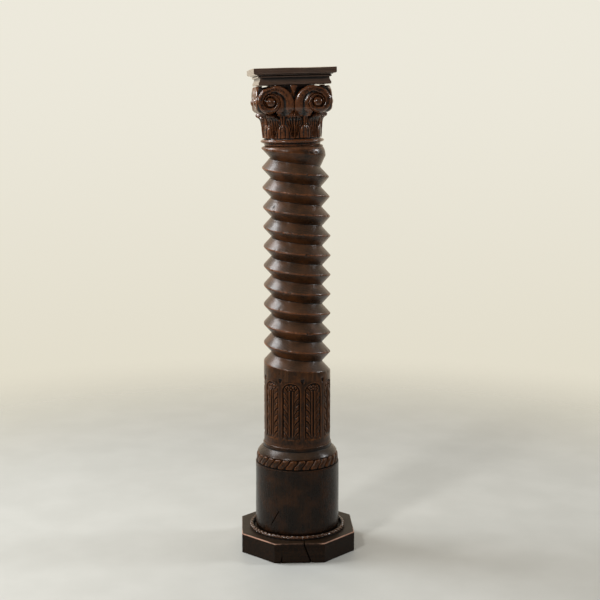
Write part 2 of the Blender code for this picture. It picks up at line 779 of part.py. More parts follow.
def make_abacus(material):
    """Square board with a fascia, a bead and a hollow, leaning with the capital."""
    frame = seat_frame() @ Matrix.Translation((-ABACUS_SHIFT, 0.0, CAPITAL_HEIGHT + SEAT_GAP))
    frame = frame @ Matrix.Rotation(ABACUS_TURN, 4, "Z")
    under = ABACUS_THICK - ABACUS_FASCIA
    section = [
        (ABACUS_FOOT_HALF, 0.0),
        (ABACUS_FOOT_HALF, ABACUS_FOOT_FASCIA),
        (ABACUS_HALF - ABACUS_HOLLOW, under * 0.52),
        (ABACUS_HALF - ABACUS_HOLLOW, under * 0.64),
        (ABACUS_HALF - ABACUS_BEAD, under * 0.72),
        (ABACUS_HALF - ABACUS_BEAD, under * 0.80),
        (ABACUS_HALF - ABACUS_STEP, under * 0.86),
        (ABACUS_HALF - ABACUS_STEP * 0.25, under * 0.97),
        (ABACUS_HALF, under),
        (ABACUS_HALF, ABACUS_THICK),
    ]
    skin = Skin()
    corners = [math.pi / 4 + math.pi / 2 * i for i in range(4)]
    rings = [
        skin.ring([(half * math.sqrt(2), corner, z) for corner in corners]) for half, z in section
    ]
    for lower, upper in zip(rings, rings[1:]):
        skin.loft(lower, upper)
    skin.cap(rings[0][::-1])
    skin.cap(rings[-1])
    abacus = make_object("abacus", skin.points, skin.faces, material)
    abacus.matrix_world = frame
    return abacus


def main():
    clear_scene()
    make_plinth(oak("plinth_oak", (0.075, 0.045, 0.032), 0.45))
    make_foot_ring(oak("ring_oak", (0.070, 0.042, 0.030), 0.40))
    make_trunk(oak("trunk_oak", (0.065, 0.040, 0.026), 0.38))
    make_capital(oak("capital_oak", (0.075, 0.036, 0.024), 0.42))
    make_abacus(oak("abacus_oak", (0.060, 0.038, 0.028), 0.35))


main()
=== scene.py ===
"""Looks of the press-screw column: dark waxed oak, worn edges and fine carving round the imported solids."""

import math

import bmesh
import bpy
import numpy as np
from mathutils import Matrix, Vector, noise


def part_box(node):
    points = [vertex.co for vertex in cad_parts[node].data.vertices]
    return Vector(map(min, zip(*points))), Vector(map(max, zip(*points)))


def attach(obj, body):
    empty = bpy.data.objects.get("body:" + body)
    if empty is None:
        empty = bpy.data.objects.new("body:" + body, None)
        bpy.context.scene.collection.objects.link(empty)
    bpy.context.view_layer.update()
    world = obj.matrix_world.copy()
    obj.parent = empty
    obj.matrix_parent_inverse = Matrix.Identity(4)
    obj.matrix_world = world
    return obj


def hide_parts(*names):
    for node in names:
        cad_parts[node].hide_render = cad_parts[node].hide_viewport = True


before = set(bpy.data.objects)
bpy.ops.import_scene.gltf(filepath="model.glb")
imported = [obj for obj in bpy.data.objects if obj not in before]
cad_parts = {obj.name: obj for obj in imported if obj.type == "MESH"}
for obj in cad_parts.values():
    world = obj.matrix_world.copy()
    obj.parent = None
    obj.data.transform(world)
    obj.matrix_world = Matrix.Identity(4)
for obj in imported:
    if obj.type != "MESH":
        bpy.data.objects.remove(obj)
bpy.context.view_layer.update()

TAU = 2 * math.pi

# Camera, from the photograph's perspective
CAMERA_AT = (-0.164, -3.751, 1.404)
CAMERA_LENS = 72.9
CAMERA_PITCH = math.radians(9.21)
CAMERA_YAW = math.radians(-2.64)

# What the surroundings send onto the column from its front and from the wall behind it
FRONT_GLOW = (0.12, 0.115, 0.105)
WALL_GLOW = (0.90, 0.79, 0.62)

# What is seen of the surroundings, low and high, and the floor's two shades
SEEN_LOW = (0.745, 0.700, 0.570)
SEEN_HIGH = (0.845, 0.815, 0.715)
FLOOR_DARK = (0.515, 0.520, 0.495)
FLOOR_LIGHT = (0.555, 0.560, 0.535)
FLOOR_SIDES = 96

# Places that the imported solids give
PLINTH_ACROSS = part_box("plinth")[1][0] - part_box("plinth")[0][0]
PLINTH_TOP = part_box("plinth")[1][2]
RING_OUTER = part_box("foot_ring")[1][0]
RING_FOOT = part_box("foot_ring")[0][2]
RING_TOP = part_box("foot_ring")[1][2]
TRUNK_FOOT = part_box("trunk")[0][2]

# Plinth board
PLINTH_EDGE = 0.0022
PLINTH_FRONT_HALF = 0.0770
PLINTH_BACK_HALF = 0.0880
LONG_CRACK_TOP = 0.011
LONG_CRACK_FOOT = 0.034
SHORT_CRACK_AT = -0.056
SHORT_CRACK_RISE = 0.030
LONG_CRACK_HALF = 0.0027
SHORT_CRACK_HALF = 0.0030

# Foot ring and its carved leaves
RING_WIDTH = 0.0165
RING_LEAVES = 56
RING_LEAF_CUT = 0.0030
RING_FOOT_IN = 0.0022
RING_SIDES = 180

# Lower drum and its rope band
DRUM_R = 0.1331
DRUM_TAPER = 0.0010
DRUM_HEIGHT = 0.2162
DRUM_FOOT_ROUND = 0.0040
DRUM_FOOT_RISE = 0.012
DRUM_CRACK = ((-28.0, 0.146), (-33.5, 0.124), (-39.7, 0.099))
CRACK_DEPTH = 0.0040
CRACK_HALF = 0.0016
ROPE_HEIGHT = 0.0325
ROPE_STRANDS = 30
ROPE_LEAN = math.radians(7.6)
ROPE_SINK = 0.0018
ROPE_LEAN_IN = 0.0028
ROPE_CUT = 0.0044
SHOULDER_HEIGHT = 0.0340
SHOULDER_LEDGE = 0.0061
SHOULDER_CURVE = 1.25
FILLET_PROUD = 0.0030
FILLET_HEIGHT = 0.0130

# Upper drum and its panels
PANEL_DRUM_R = 0.1048
PANEL_DRUM_HEIGHT = 0.2414
PANEL_COUNT = 9
PANEL_FIRST_STRIP = math.radians(6.8)
PANEL_STRIP = math.radians(7.7)
PANEL_FOOT = 0.0252
PANEL_SPRING = 0.1800
PANEL_ARCH_RISE = 0.0243
PANEL_GROOVE = 0.0030
PANEL_SINK = 0.0058
REED_AT = 0.0056
REED_HALF = 0.0036
LEAFLET_NEAR = 0.0098
LEAFLET_STEP = 0.0360
LEAFLET_SLOPE = 1.10
ROSETTE_AT = 0.1855
ROSETTE_R = 0.0120
PUNCH_TOP = 0.5625
PUNCH_HEIGHT = 0.0150
PUNCH_HALF = 0.0074
PUNCH_DEPTH = 0.0055
PANEL_CLEAR = 0.006
PANEL_MIDDLE = 0.112
PANEL_HALF_HEIGHT = 0.093
STRIP_STAIN = 0.30

# Screw thread
THREAD_PITCH = 0.0607
THREAD_TURNS = 11
THREAD_DEPTH = 0.0265
THREAD_LAND = 0.0024
THREAD_SLIM = 0.0012
THREAD_TOP_WEAR = 0.0015
THREAD_RUN_OUT = math.radians(50.0)
HOLE_TURN = math.radians(-49.5)
HOLE_OUT = 0.0925
HOLE_UP = 1.0927
HOLE_R = 0.0032
HOLE_DEPTH = 0.0030
NECK_R = 0.0860
NECK_TOP_R = 0.0875
NECK_HEIGHT = 0.0219

# The thread's last turn is cut back and flattened at its front and right
TOP_LIFT = 0.0055
TOP_LAND = 0.0020
TOP_CUT = 0.0080

# Warp of the trunk towards -X
WARP_START = 0.90
WARP_LENGTH = 0.38
WARP_SHIFT = 0.0083
WARP_TIP = 0.3
SEAT_SHIFT = 0.0034

# Capital
CAPITAL_LEAN = math.radians(1.6)
CAPITAL_TURN = math.radians(3.0)
CAPITAL_SHIFT = 0.0030
CAPITAL_HEIGHT = 0.1812
CAPITAL_FOOT_R = 0.0865
ASTRAGAL_R = 0.0978
ASTRAGAL_HALF = 0.0060
ASTRAGAL_AT = 0.0143
BELL_FOOT_AT = 0.0235
BELL_FOOT_R = 0.0845
BELL_LIP_R = 0.0875
CORE_R = 0.0735
BELL_SIDES = 160
LEAF_COUNT = 8
LEAF_GAP_TURN = math.pi / LEAF_COUNT
LEAF_HALF_WIDTH = 0.0290
LEAF_ROLL_R = 0.0075
LEAF_ROLL_OUT = 0.1010
LEAF_ROLL_AT = 0.0925
LEAF_CUTS = (0.20, 0.47, 0.74)
LEAF_ROLL_FROM = 0.62
LEAF_THICK = 0.0047
LEAF_FLARE = 0.0050
SMALL_LEAF_HALF = 0.0168
SMALL_LEAF_RISE = 0.0405
SMALL_LEAF_PROUD = 0.0066
SMALL_LEAF_CUT = 0.0026
STALK_FOOT = 0.056
STALK_RISE = 0.046
STALK_GROOVE = 0.0028
FACE_COUNT = 4
FACE_AT = 0.1145
EYE_OUT = 0.0706
EYE_AT = 0.1305
EYE_R = 0.0140
EYE_PROUD = 0.0055
VOLUTE_R = 0.0432
VOLUTE_BAND = 0.0195
VOLUTE_GROOVE = 0.0070
VOLUTE_ROUND = 0.0030
VOLUTE_STEP = math.radians(3.0)
VOLUTE_START = math.radians(-150.0)
VOLUTE_END = math.radians(525.0)
STEM_GAP = 0.0008
STEM_WIDEN = 0.0080
STEM_FOOT = 0.0880
STEM_RECESS = 0.0200
DART_BACK = 0.088
DART_STATIONS = (
    (0.1805, 0.0100, 0.105),
    (0.172, 0.0082, 0.108),
    (0.161, 0.0046, 0.107),
    (0.148, 0.0008, 0.102),
)

# Abacus board
ABACUS_TURN = math.radians(4.5)
ABACUS_SHIFT = 0.0020
ABACUS_HALF = 0.1232
ABACUS_FOOT_HALF = 0.1080
ABACUS_THICK = 0.0500
ABACUS_FASCIA = 0.0160
ABACUS_STEP = 0.0107
ABACUS_BEAD = 0.0137
ABACUS_HOLLOW = 0.0197
ABACUS_EDGE = 0.0016
SEAT_GAP = 0.0003

# Heights that follow
ROPE_FOOT = TRUNK_FOOT + DRUM_HEIGHT
SHOULDER_FOOT = ROPE_FOOT + ROPE_HEIGHT
PANEL_DRUM_FOOT = SHOULDER_FOOT + SHOULDER_HEIGHT
THREAD_FOOT = PANEL_DRUM_FOOT + PANEL_DRUM_HEIGHT
SEAT_Z = THREAD_FOOT + THREAD_PITCH * THREAD_TURNS + NECK_HEIGHT
SCREW_BASE = PANEL_DRUM_FOOT + PANEL_SPRING + PANEL_ARCH_RISE + PANEL_CLEAR


class Value:
    """A number in a node tree that is reckoned with like an ordinary one."""

    def __init__(self, tree, socket):
        self.tree = tree
        self.socket = socket

    def step(self, operation, *others):
        node = self.tree.nodes.new("ShaderNodeMath")
        node.operation = operation
        for slot, value in zip(node.inputs, (self, *others)):
            feed(self.tree, value, slot)
        return Value(self.tree, node.outputs[0])

    def __add__(self, other):
        return self.step("ADD", other)

    def __sub__(self, other):
        return self.step("SUBTRACT", other)

    def __rsub__(self, other):
        return self.step("MULTIPLY", -1.0).step("ADD", other)

    def __mul__(self, other):
        return self.step("MULTIPLY", other)

    def __truediv__(self, other):
        return self.step("DIVIDE", other)

    def __rtruediv__(self, other):
        return self.step("POWER", -1.0).step("MULTIPLY", other)

    def __pow__(self, other):
        return self.step("POWER", other)

    def clamped(self, low=0.0, high=1.0):
        return self.step("MAXIMUM", low).step("MINIMUM", high)

    def smooth(self, low, high):
        """Smooth step from 0 at low to 1 at high."""
        share = ((self - low) / (high - low)).clamped()
        return share * share * (share * -2.0 + 3.0)

    __radd__ = __add__
    __rmul__ = __mul__


def feed(tree, value, slot):
    """Link a value or a socket to a slot, or set the slot to a plain number."""
    if isinstance(value, Value):
        tree.links.new(value.socket, slot)
    elif isinstance(value, bpy.types.NodeSocket):
        tree.links.new(value, slot)
    else:
        slot.default_value = value


def add_node(tree, kind, settings=None, **inputs):
    """A node with its settings and its inputs, whose names have _ for a blank."""
    node = tree.nodes.new(kind)
    for key, value in (settings or {}).items():
        setattr(node, key, value)
    for key, value in inputs.items():
        feed(tree, value, node.inputs[key.replace("_", " ")])
    return node


def noise_at(tree, vector, **sizes):
    """The value of a noise texture at a place."""
    return Value(tree, add_node(tree, "ShaderNodeTexNoise", Vector=vector, **sizes).outputs[0])


def new_tree(name, kind, inputs, outputs):
    """An empty node group with named sockets, and its input and output nodes."""
    tree = bpy.data.node_groups.new(name, kind)
    for label, socket_type, default in inputs:
        socket = tree.interface.new_socket(label, in_out="INPUT", socket_type="NodeSocket" + socket_type)
        if default is not None:
            socket.default_value = default
    for label, socket_type in outputs:
        tree.interface.new_socket(label, in_out="OUTPUT", socket_type="NodeSocket" + socket_type)
    return tree, tree.nodes.new("NodeGroupInput"), tree.nodes.new("NodeGroupOutput")


# Geometry trees

def screw_tree():
    """One-start screw: a grid wound on a helix, its radius worked out from the thread's phase."""
    inputs = [
        ("Pitch", "Float", 0.06),
        ("Turns", "Float", 10.0),
        ("Crest Radius", "Float", 0.1),
        ("Depth", "Float", 0.02),
        ("Land", "Float", 0.002),
        ("Slimming", "Float", 0.003),
        ("Top Wear", "Float", 0.005),
        ("Top Lift", "Float", 0.01),
        ("Top Land", "Float", 0.01),
        ("Top Cut", "Float", 0.008),
        ("Run Out", "Float", 0.9),
        ("Neck Radius", "Float", 0.08),
        ("Neck Top Radius", "Float", 0.084),
        ("Neck Height", "Float", 0.02),
        ("Foot Height", "Float", 0.6),
        ("Base Height", "Float", 0.55),
        ("Seat Height", "Float", 1.3),
        ("Hand Cut", "Float", 0.0006),
        ("Nicks", "Float", 0.002),
        ("Columns", "Int", 240),
        ("Rows", "Int", 300),
        ("Material", "Material", None),
    ]
    tree, source, target = new_tree("Press Screw", "GeometryNodeTree", inputs, [("Geometry", "Geometry")])
    size = {label: Value(tree, source.outputs[label]) for label, _, _ in inputs}
    pitch = size["Pitch"]
    turns = size["Turns"]
    neck = size["Neck Radius"]
    depth = size["Depth"]
    seat = size["Seat Height"]
    grid = add_node(tree, "GeometryNodeMeshGrid", Size_X=1.0, Size_Y=1.0)
    feed(tree, size["Columns"], grid.inputs["Vertices X"])
    feed(tree, size["Rows"], grid.inputs["Vertices Y"])
    on_grid = add_node(tree, "GeometryNodeInputPosition")
    shares = add_node(tree, "ShaderNodeSeparateXYZ", Vector=on_grid.outputs[0])
    round_share = Value(tree, shares.outputs["X"])
    rise_share = Value(tree, shares.outputs["Y"])

    # The rows crowd together at the crests and the roots
    lead = (rise_share + 0.5) * (turns + 4.0) - 2.0
    phase = lead - (lead * (2 * TAU)).step("SINE") * (0.62 / (2 * TAU))

    # The last turn's crest is cut back, flattened and drawn up, most at the right
    flat = round_share.smooth(-0.25, 0.25) * (1.0 - round_share.smooth(0.25, 0.5))
    near_top = phase.step("GREATER_THAN", turns - 0.5)
    lift = size["Top Lift"] * flat * (phase - turns).smooth(-0.45, -0.10)
    raw = size["Foot Height"] + pitch * (phase - round_share) + lift
    limit = seat - size["Neck Height"] * 0.5
    room = size["Neck Height"] * 0.45
    over = (raw - limit).step("MAXIMUM", 0.0)
    squeezed = room * (1.0 - (over / room * -1.0).step("EXPONENT"))
    height = raw.step("MAXIMUM", size["Base Height"]).step("MINIMUM", limit) + squeezed

    # How far down the flank, 0 on the crest and 1 in the root
    away = (phase - (phase + 0.5).step("FLOOR")).step("ABSOLUTE")
    half_land = (size["Land"] + size["Top Land"] * flat * near_top) / pitch * 0.5
    slope = ((away - half_land) / (0.5 - half_land)).clamped()
    slope = slope.step("SMOOTH_MIN", 0.985, 0.10).step("SMOOTH_MAX", 0.0, 0.05)
    share = ((raw - size["Foot Height"]) / (pitch * turns)).clamped()
    crest = size["Crest Radius"] - size["Slimming"] * share - size["Top Wear"] * share ** 6.0
    crest = crest - size["Top Cut"] * flat * near_top * (1.0 - slope)

    # The lowest groove runs out to the drum, and the highest crest grows out of the neck
    run = size["Run Out"] / TAU
    grown_in = (round_share + 0.5).smooth(0.0, run)
    run_out = 1.0 - (round_share - 0.5 + run).smooth(0.0, run)
    begun = phase.step("GREATER_THAN", 0.0)
    first = phase.step("LESS_THAN", 1.0)
    cut = depth * slope * begun * (1.0 - first * (1.0 - run_out))
    top_turn = phase.step("GREATER_THAN", turns)
    past = phase.step("GREATER_THAN", turns + 0.5)
    nearing = ((phase - turns + 1.0) * 2.0).clamped()
    keep = (1.0 - nearing * (1.0 - grown_in)) * (1.0 - top_turn * slope) * (1.0 - past)
    radius = neck + (crest - cut * (1.0 - top_turn) - neck) * keep
    flare = (height - limit).smooth(0.0, seat - limit)
    radius = radius + (size["Neck Top Radius"] - neck) * flare * past

    # Unevenness of the cutting, and nicks on the crests
    angle = round_share * TAU
    spot = add_node(tree, "ShaderNodeCombineXYZ")
    feed(tree, crest * angle.step("SINE"), spot.inputs["X"])
    feed(tree, crest * angle.step("COSINE") * -1.0, spot.inputs["Y"])
    feed(tree, height, spot.inputs["Z"])
    slow = noise_at(tree, spot.outputs[0], Scale=13.0, Detail=3.0, Roughness=0.55)
    sharp = noise_at(tree, spot.outputs[0], Scale=48.0, Detail=2.0, Roughness=0.6)
    fading = (height - size["Base Height"]).smooth(0.0, 0.02)
    wobble = (slow - 0.5) * 2.0 * size["Hand Cut"] * fading
    chip = (sharp - 0.56).step("MAXIMUM", 0.0) * 6.0 * size["Nicks"]
    chip = chip * (1.0 - slope * 4.0).clamped() * fading
    last = rise_share.step("GREATER_THAN", 0.49999)
    radius = (radius + wobble - chip) * (1.0 - last) + size["Neck Top Radius"] * last
    height = height * (1.0 - last) + seat * last
    place = add_node(tree, "ShaderNodeCombineXYZ")
    feed(tree, radius * angle.step("SINE"), place.inputs["X"])
    feed(tree, radius * angle.step("COSINE") * -1.0, place.inputs["Y"])
    feed(tree, height, place.inputs["Z"])
    moved = add_node(tree, "GeometryNodeSetPosition", Geometry=grid.outputs[0], Position=place.outputs[0])
    merged = add_node(tree, "GeometryNodeMergeByDistance", Geometry=moved.outputs[0], Distance=2e-5)
    real = add_node(tree, "GeometryNodeRealizeInstances", Geometry=merged.outputs[0])
    painted = add_node(tree, "GeometryNodeSetMaterial", Geometry=real.outputs[0])
    feed(tree, source.outputs["Material"], painted.inputs["Material"])
    tree.links.new(painted.outputs[0], target.inputs[0])
    return tree


def repeat_tree():
    """Sets copies of one carved motif evenly round the axis, each a little different from the next."""
    inputs = [
        ("Geometry", "Geometry", None),
        ("Count", "Int", 8),
        ("First Turn", "Float", 0.0),
        ("Hand Cut", "Float", 0.0005),
        ("Hand Cut Size", "Float", 0.03),
        ("Seed", "Float", 0.0),
        ("Material", "Material", None),
    ]
    tree, source, target = new_tree("Repeat Round", "GeometryNodeTree", inputs, [("Geometry", "Geometry")])
    line = add_node(tree, "GeometryNodeMeshLine", Count=source.outputs["Count"])
    line.inputs["Offset"].default_value = (0.0, 0.0, 0.0)
    index = Value(tree, add_node(tree, "GeometryNodeInputIndex").outputs[0])
    turn = Value(tree, source.outputs["First Turn"]) + index * TAU / Value(tree, source.outputs["Count"])
    euler = add_node(tree, "ShaderNodeCombineXYZ", Z=turn)
    rotation = add_node(tree, "FunctionNodeEulerToRotation", Euler=euler.outputs[0])
    copies = add_node(
        tree,
        "GeometryNodeInstanceOnPoints",
        Points=line.outputs[0],
        Instance=source.outputs["Geometry"],
        Rotation=rotation.outputs[0],
    )
    real = add_node(tree, "GeometryNodeRealizeInstances", Geometry=copies.outputs[0])
    place = add_node(tree, "GeometryNodeInputPosition")
    scale = 1.0 / Value(tree, source.outputs["Hand Cut Size"])
    uneven = add_node(
        tree,
        "ShaderNodeTexNoise",
        {"noise_dimensions": "4D"},
        Vector=place.outputs[0],
        W=source.outputs["Seed"],
        Scale=scale,
        Detail=2.0,
    )
    centred = add_node(tree, "ShaderNodeVectorMath", {"operation": "SUBTRACT"})
    tree.links.new(uneven.outputs["Color"], centred.inputs[0])
    centred.inputs[1].default_value = (0.5, 0.5, 0.5)
    pushed = add_node(tree, "ShaderNodeVectorMath", {"operation": "SCALE"})
    tree.links.new(centred.outputs[0], pushed.inputs[0])
    feed(tree, Value(tree, source.outputs["Hand Cut"]) * 2.0, pushed.inputs["Scale"])
    moved = add_node(tree, "GeometryNodeSetPosition", Geometry=real.outputs[0], Offset=pushed.outputs[0])
    merged = add_node(tree, "GeometryNodeMergeByDistance", Geometry=moved.outputs[0], Distance=1e-5)
    painted = add_node(tree, "GeometryNodeSetMaterial", Geometry=merged.outputs[0])
    feed(tree, source.outputs["Material"], painted.inputs["Material"])
    tree.links.new(painted.outputs[0], target.inputs[0])
    return tree


def grow(obj, tree, sizes):
    """Run a geometry tree on an object and keep the result as its plain mesh."""
    modifier = obj.modifiers.new("Tree", "NODES")
    modifier.node_group = tree
    for item in tree.interface.items_tree:
        if item.item_type == "SOCKET" and item.in_out == "INPUT" and item.name in sizes:
            modifier[item.identifier] = sizes[item.name]
    evaluated = obj.evaluated_get(bpy.context.evaluated_depsgraph_get())
    mesh = bpy.data.meshes.new_from_object(evaluated)
    obj.modifiers.clear()
    obj.data = mesh
    mesh.name = obj.name
    return obj


# Mesh helpers

def polar(radius, angle, z):
    """Points round the axis, the angle running from the front towards +X."""
    parts = np.broadcast_arrays(radius * np.sin(angle), -radius * np.cos(angle), z)
    return np.stack(parts, axis=-1)


def grid_faces(rows, columns, closed=False, start=0):
    """Quads over rows of points, wrapped round where the rows are closed."""
    last = columns if closed else columns - 1
    faces = []
    for r in range(rows - 1):
        low = start + r * columns
        high = low + columns
        for c in range(last):
            after = (c + 1) % columns
            faces.append((low + c, low + after, high + after, high + c))
    return faces


def mesh_object(name, points, faces, material=None):
    """An object from points and faces, linked to the scene."""
    mesh = bpy.data.meshes.new(name)
    mesh.from_pydata(np.asarray(points).reshape(-1, 3).tolist(), [], faces)
    if material:
        mesh.materials.append(material)
    obj = bpy.data.objects.new(name, mesh)
    bpy.context.scene.collection.objects.link(obj)
    return obj


def turned_rows(section, sides):
    """Closed rows of points that a section of (radius, z) pairs makes round the axis."""
    angles = np.linspace(-math.pi, math.pi, sides + 1)[:-1]
    radius, z = np.array(section).T
    return polar(radius[:, None], angles, z[:, None])


def ringed_object(name, rows, material=None):
    """An object from closed rows of points, each row joined to the next."""
    return mesh_object(name, np.array(rows), grid_faces(len(rows), len(rows[0]), closed=True), material)


def tidy(obj, merge=1e-5, fill=True):
    """Merge doubles, close what is open and turn the faces outwards."""
    work = bmesh.new()
    work.from_mesh(obj.data)
    bmesh.ops.remove_doubles(work, verts=work.verts, dist=merge)
    bmesh.ops.dissolve_degenerate(work, dist=1e-7, edges=work.edges)
    if fill:
        rims = [edge for edge in work.edges if edge.is_boundary]
        bmesh.ops.holes_fill(work, edges=rims, sides=0)
    bmesh.ops.recalc_face_normals(work, faces=work.faces)
    if work.calc_volume(signed=True) < 0:
        bmesh.ops.reverse_faces(work, faces=work.faces)
    work.to_mesh(obj.data)
    work.free()
    return obj


def point_array(mesh):
    """The mesh's points as an array."""
    values = np.empty(len(mesh.vertices) * 3)
    mesh.vertices.foreach_get("co", values)
    return values.reshape(-1, 3)


def set_points(mesh, points):
    """Move the mesh's points."""
    mesh.vertices.foreach_set("co", np.asarray(points).ravel())
    mesh.update()


def normal_array(mesh):
    """The mesh's vertex normals as an array."""
    values = np.empty(len(mesh.vertices) * 3)
    mesh.vertex_normals.foreach_get("vector", values)
    return values.reshape(-1, 3)


def roughen(obj, amount, size, seed):
    """Move the points a little along their normals, as hand tools and handling leave them."""
    points = point_array(obj.data)
    offset = Vector((seed * 7.3, seed * 3.1, seed * 5.7))
    lift = [amount * noise.noise(Vector(p) / size + offset) for p in points]
    set_points(obj.data, points + normal_array(obj.data) * np.array(lift)[:, None])


def mark_wear(obj, reach, rounds=14):
    """Store how far each point stands proud of its surroundings, and how deep it lies in them."""
    mesh = obj.data
    points = point_array(mesh)
    ends = np.empty(len(mesh.edges) * 2, dtype=np.int64)
    mesh.edges.foreach_get("vertices", ends)
    first, second = ends.reshape(-1, 2).T
    count = len(points)
    joined = np.bincount(first, minlength=count) + np.bincount(second, minlength=count)
    joined = np.maximum(joined, 1)[:, None]
    blurred = points.copy()
    for _ in range(rounds):
        total = np.zeros_like(points)
        for axis in range(3):
            total[:, axis] += np.bincount(first, weights=blurred[second, axis], minlength=count)
            total[:, axis] += np.bincount(second, weights=blurred[first, axis], minlength=count)
        blurred = 0.3 * blurred + 0.7 * total / joined
    height = ((points - blurred) * normal_array(mesh)).sum(axis=1) / reach
    store_wear_and_shade(mesh, height, -height)


def store_wear_and_shade(mesh, ridge, hollow):
    """Store where the surface is worn, and where it is darkened by dirt in its hollows and by painted shade.
    """
    for name, values in (("ridge", ridge), ("hollow", hollow)):
        attribute = mesh.attributes.new(name, "FLOAT", "POINT")
        attribute.data.foreach_set("value", np.clip(values, 0.0, 1.0))


def darken(mesh, share, dirt_and_shade=1.0):
    """Take the wear off and darken the colour where the share is high: painted shade in holes, cracks, cuts
    and where parts meet, and a darker stain on the panel strips.
    """
    for name in ("ridge", "hollow"):
        attribute = mesh.attributes[name]
        values = np.empty(len(mesh.vertices))
        attribute.data.foreach_get("value", values)
        values = values * (1 - share) if name == "ridge" else np.maximum(values, share * dirt_and_shade)
        attribute.data.foreach_set("value", values)


def finish_piece(obj, node, reach=0.0012, sharp=None, rounds=14):
    """Shade a piece smooth, mark its worn ridges and its hollows for dirt and painted shade unless that is
    done, and fasten it to the frame.
    """
    obj.data.shade_smooth()
    if sharp:
        obj.data.set_sharp_from_angle(angle=math.radians(sharp))
    if "ridge" not in obj.data.attributes:
        mark_wear(obj, reach, rounds)
    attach(obj, "root")
    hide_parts(node)


def repeat(obj, material, count, hand_cut, cut_size, seed, first_turn=0.0):
    """Repeat an object's mesh round the axis by the Repeat Round tree."""
    sizes = {
        "Count": count,
        "First Turn": first_turn,
        "Hand Cut": hand_cut,
        "Hand Cut Size": cut_size,
        "Seed": seed,
        "Material": material,
    }
    return grow(obj, REPEAT, sizes)


def repeated(name, points, faces, material, **sizes):
    """A motif from points and faces, closed and repeated round the axis."""
    return repeat(tidy(mesh_object(name, points, faces)), material, **sizes)


def join_pieces(name, pieces, material):
    """Join several objects' meshes into one object of one material."""
    work = bmesh.new()
    for piece in pieces:
        work.from_mesh(piece.data)
    for face in work.faces:
        face.material_index = 0
    mesh = bpy.data.meshes.new(name)
    work.to_mesh(mesh)
    work.free()
    mesh.materials.append(material)
    for piece in pieces:
        bpy.data.objects.remove(piece, do_unlink=True)
    obj = bpy.data.objects.new(name, mesh)
    bpy.context.scene.collection.objects.link(obj)
    return obj


# Frames of the warped trunk

def warp(points):
    """Move points of the straight trunk to their places on the warped one."""
    x, y, z = points.T
    along = np.maximum(0.0, z - WARP_START) / WARP_LENGTH
    shift = WARP_SHIFT * along**2
    tilt = WARP_TIP * np.arctan(2 * WARP_SHIFT * along / WARP_LENGTH)
    return np.stack((x * np.cos(tilt) - shift, y, z + x * np.sin(tilt)), axis=-1)


def seat_frame():
    """The leaning frame in which the capital and the abacus stand."""
    along = (SEAT_Z - WARP_START) / WARP_LENGTH
    centre = Vector((-WARP_SHIFT * along**2 - SEAT_SHIFT, 0.0, SEAT_Z))
    return Matrix.Translation(centre) @ Matrix.Rotation(-CAPITAL_LEAN, 4, "Y")


def capital_frame():
    """The capital's own frame."""
    shifted = seat_frame() @ Matrix.Translation((-CAPITAL_SHIFT, 0.0, 0.0))
    return shifted @ Matrix.Rotation(CAPITAL_TURN, 4, "Z")


def abacus_frame():
    """The abacus's own frame, on top of the capital."""
    shifted = seat_frame() @ Matrix.Translation((-ABACUS_SHIFT, 0.0, CAPITAL_HEIGHT + SEAT_GAP))
    return shifted @ Matrix.Rotation(ABACUS_TURN, 4, "Z")


# Trunk

def punch_depth(angle, z):
    """Depth of the small inverted triangles punched above the strips between the panels."""
    pitch = TAU / PANEL_COUNT
    strip = PANEL_FIRST_STRIP
    across = np.abs((angle - strip + pitch / 2) % pitch - pitch / 2) * PANEL_DRUM_R
    down = (PUNCH_TOP - z) / PUNCH_HEIGHT
    half = PUNCH_HALF * np.clip(1.15 - down, 0.12, 1.0)
    inside = np.clip((half - across) / 0.0018, 0.0, 1.0)
    ends = np.clip(np.minimum(down, 1.0 - down) / 0.08, 0.0, 1.0)
    return PUNCH_DEPTH * inside * ends


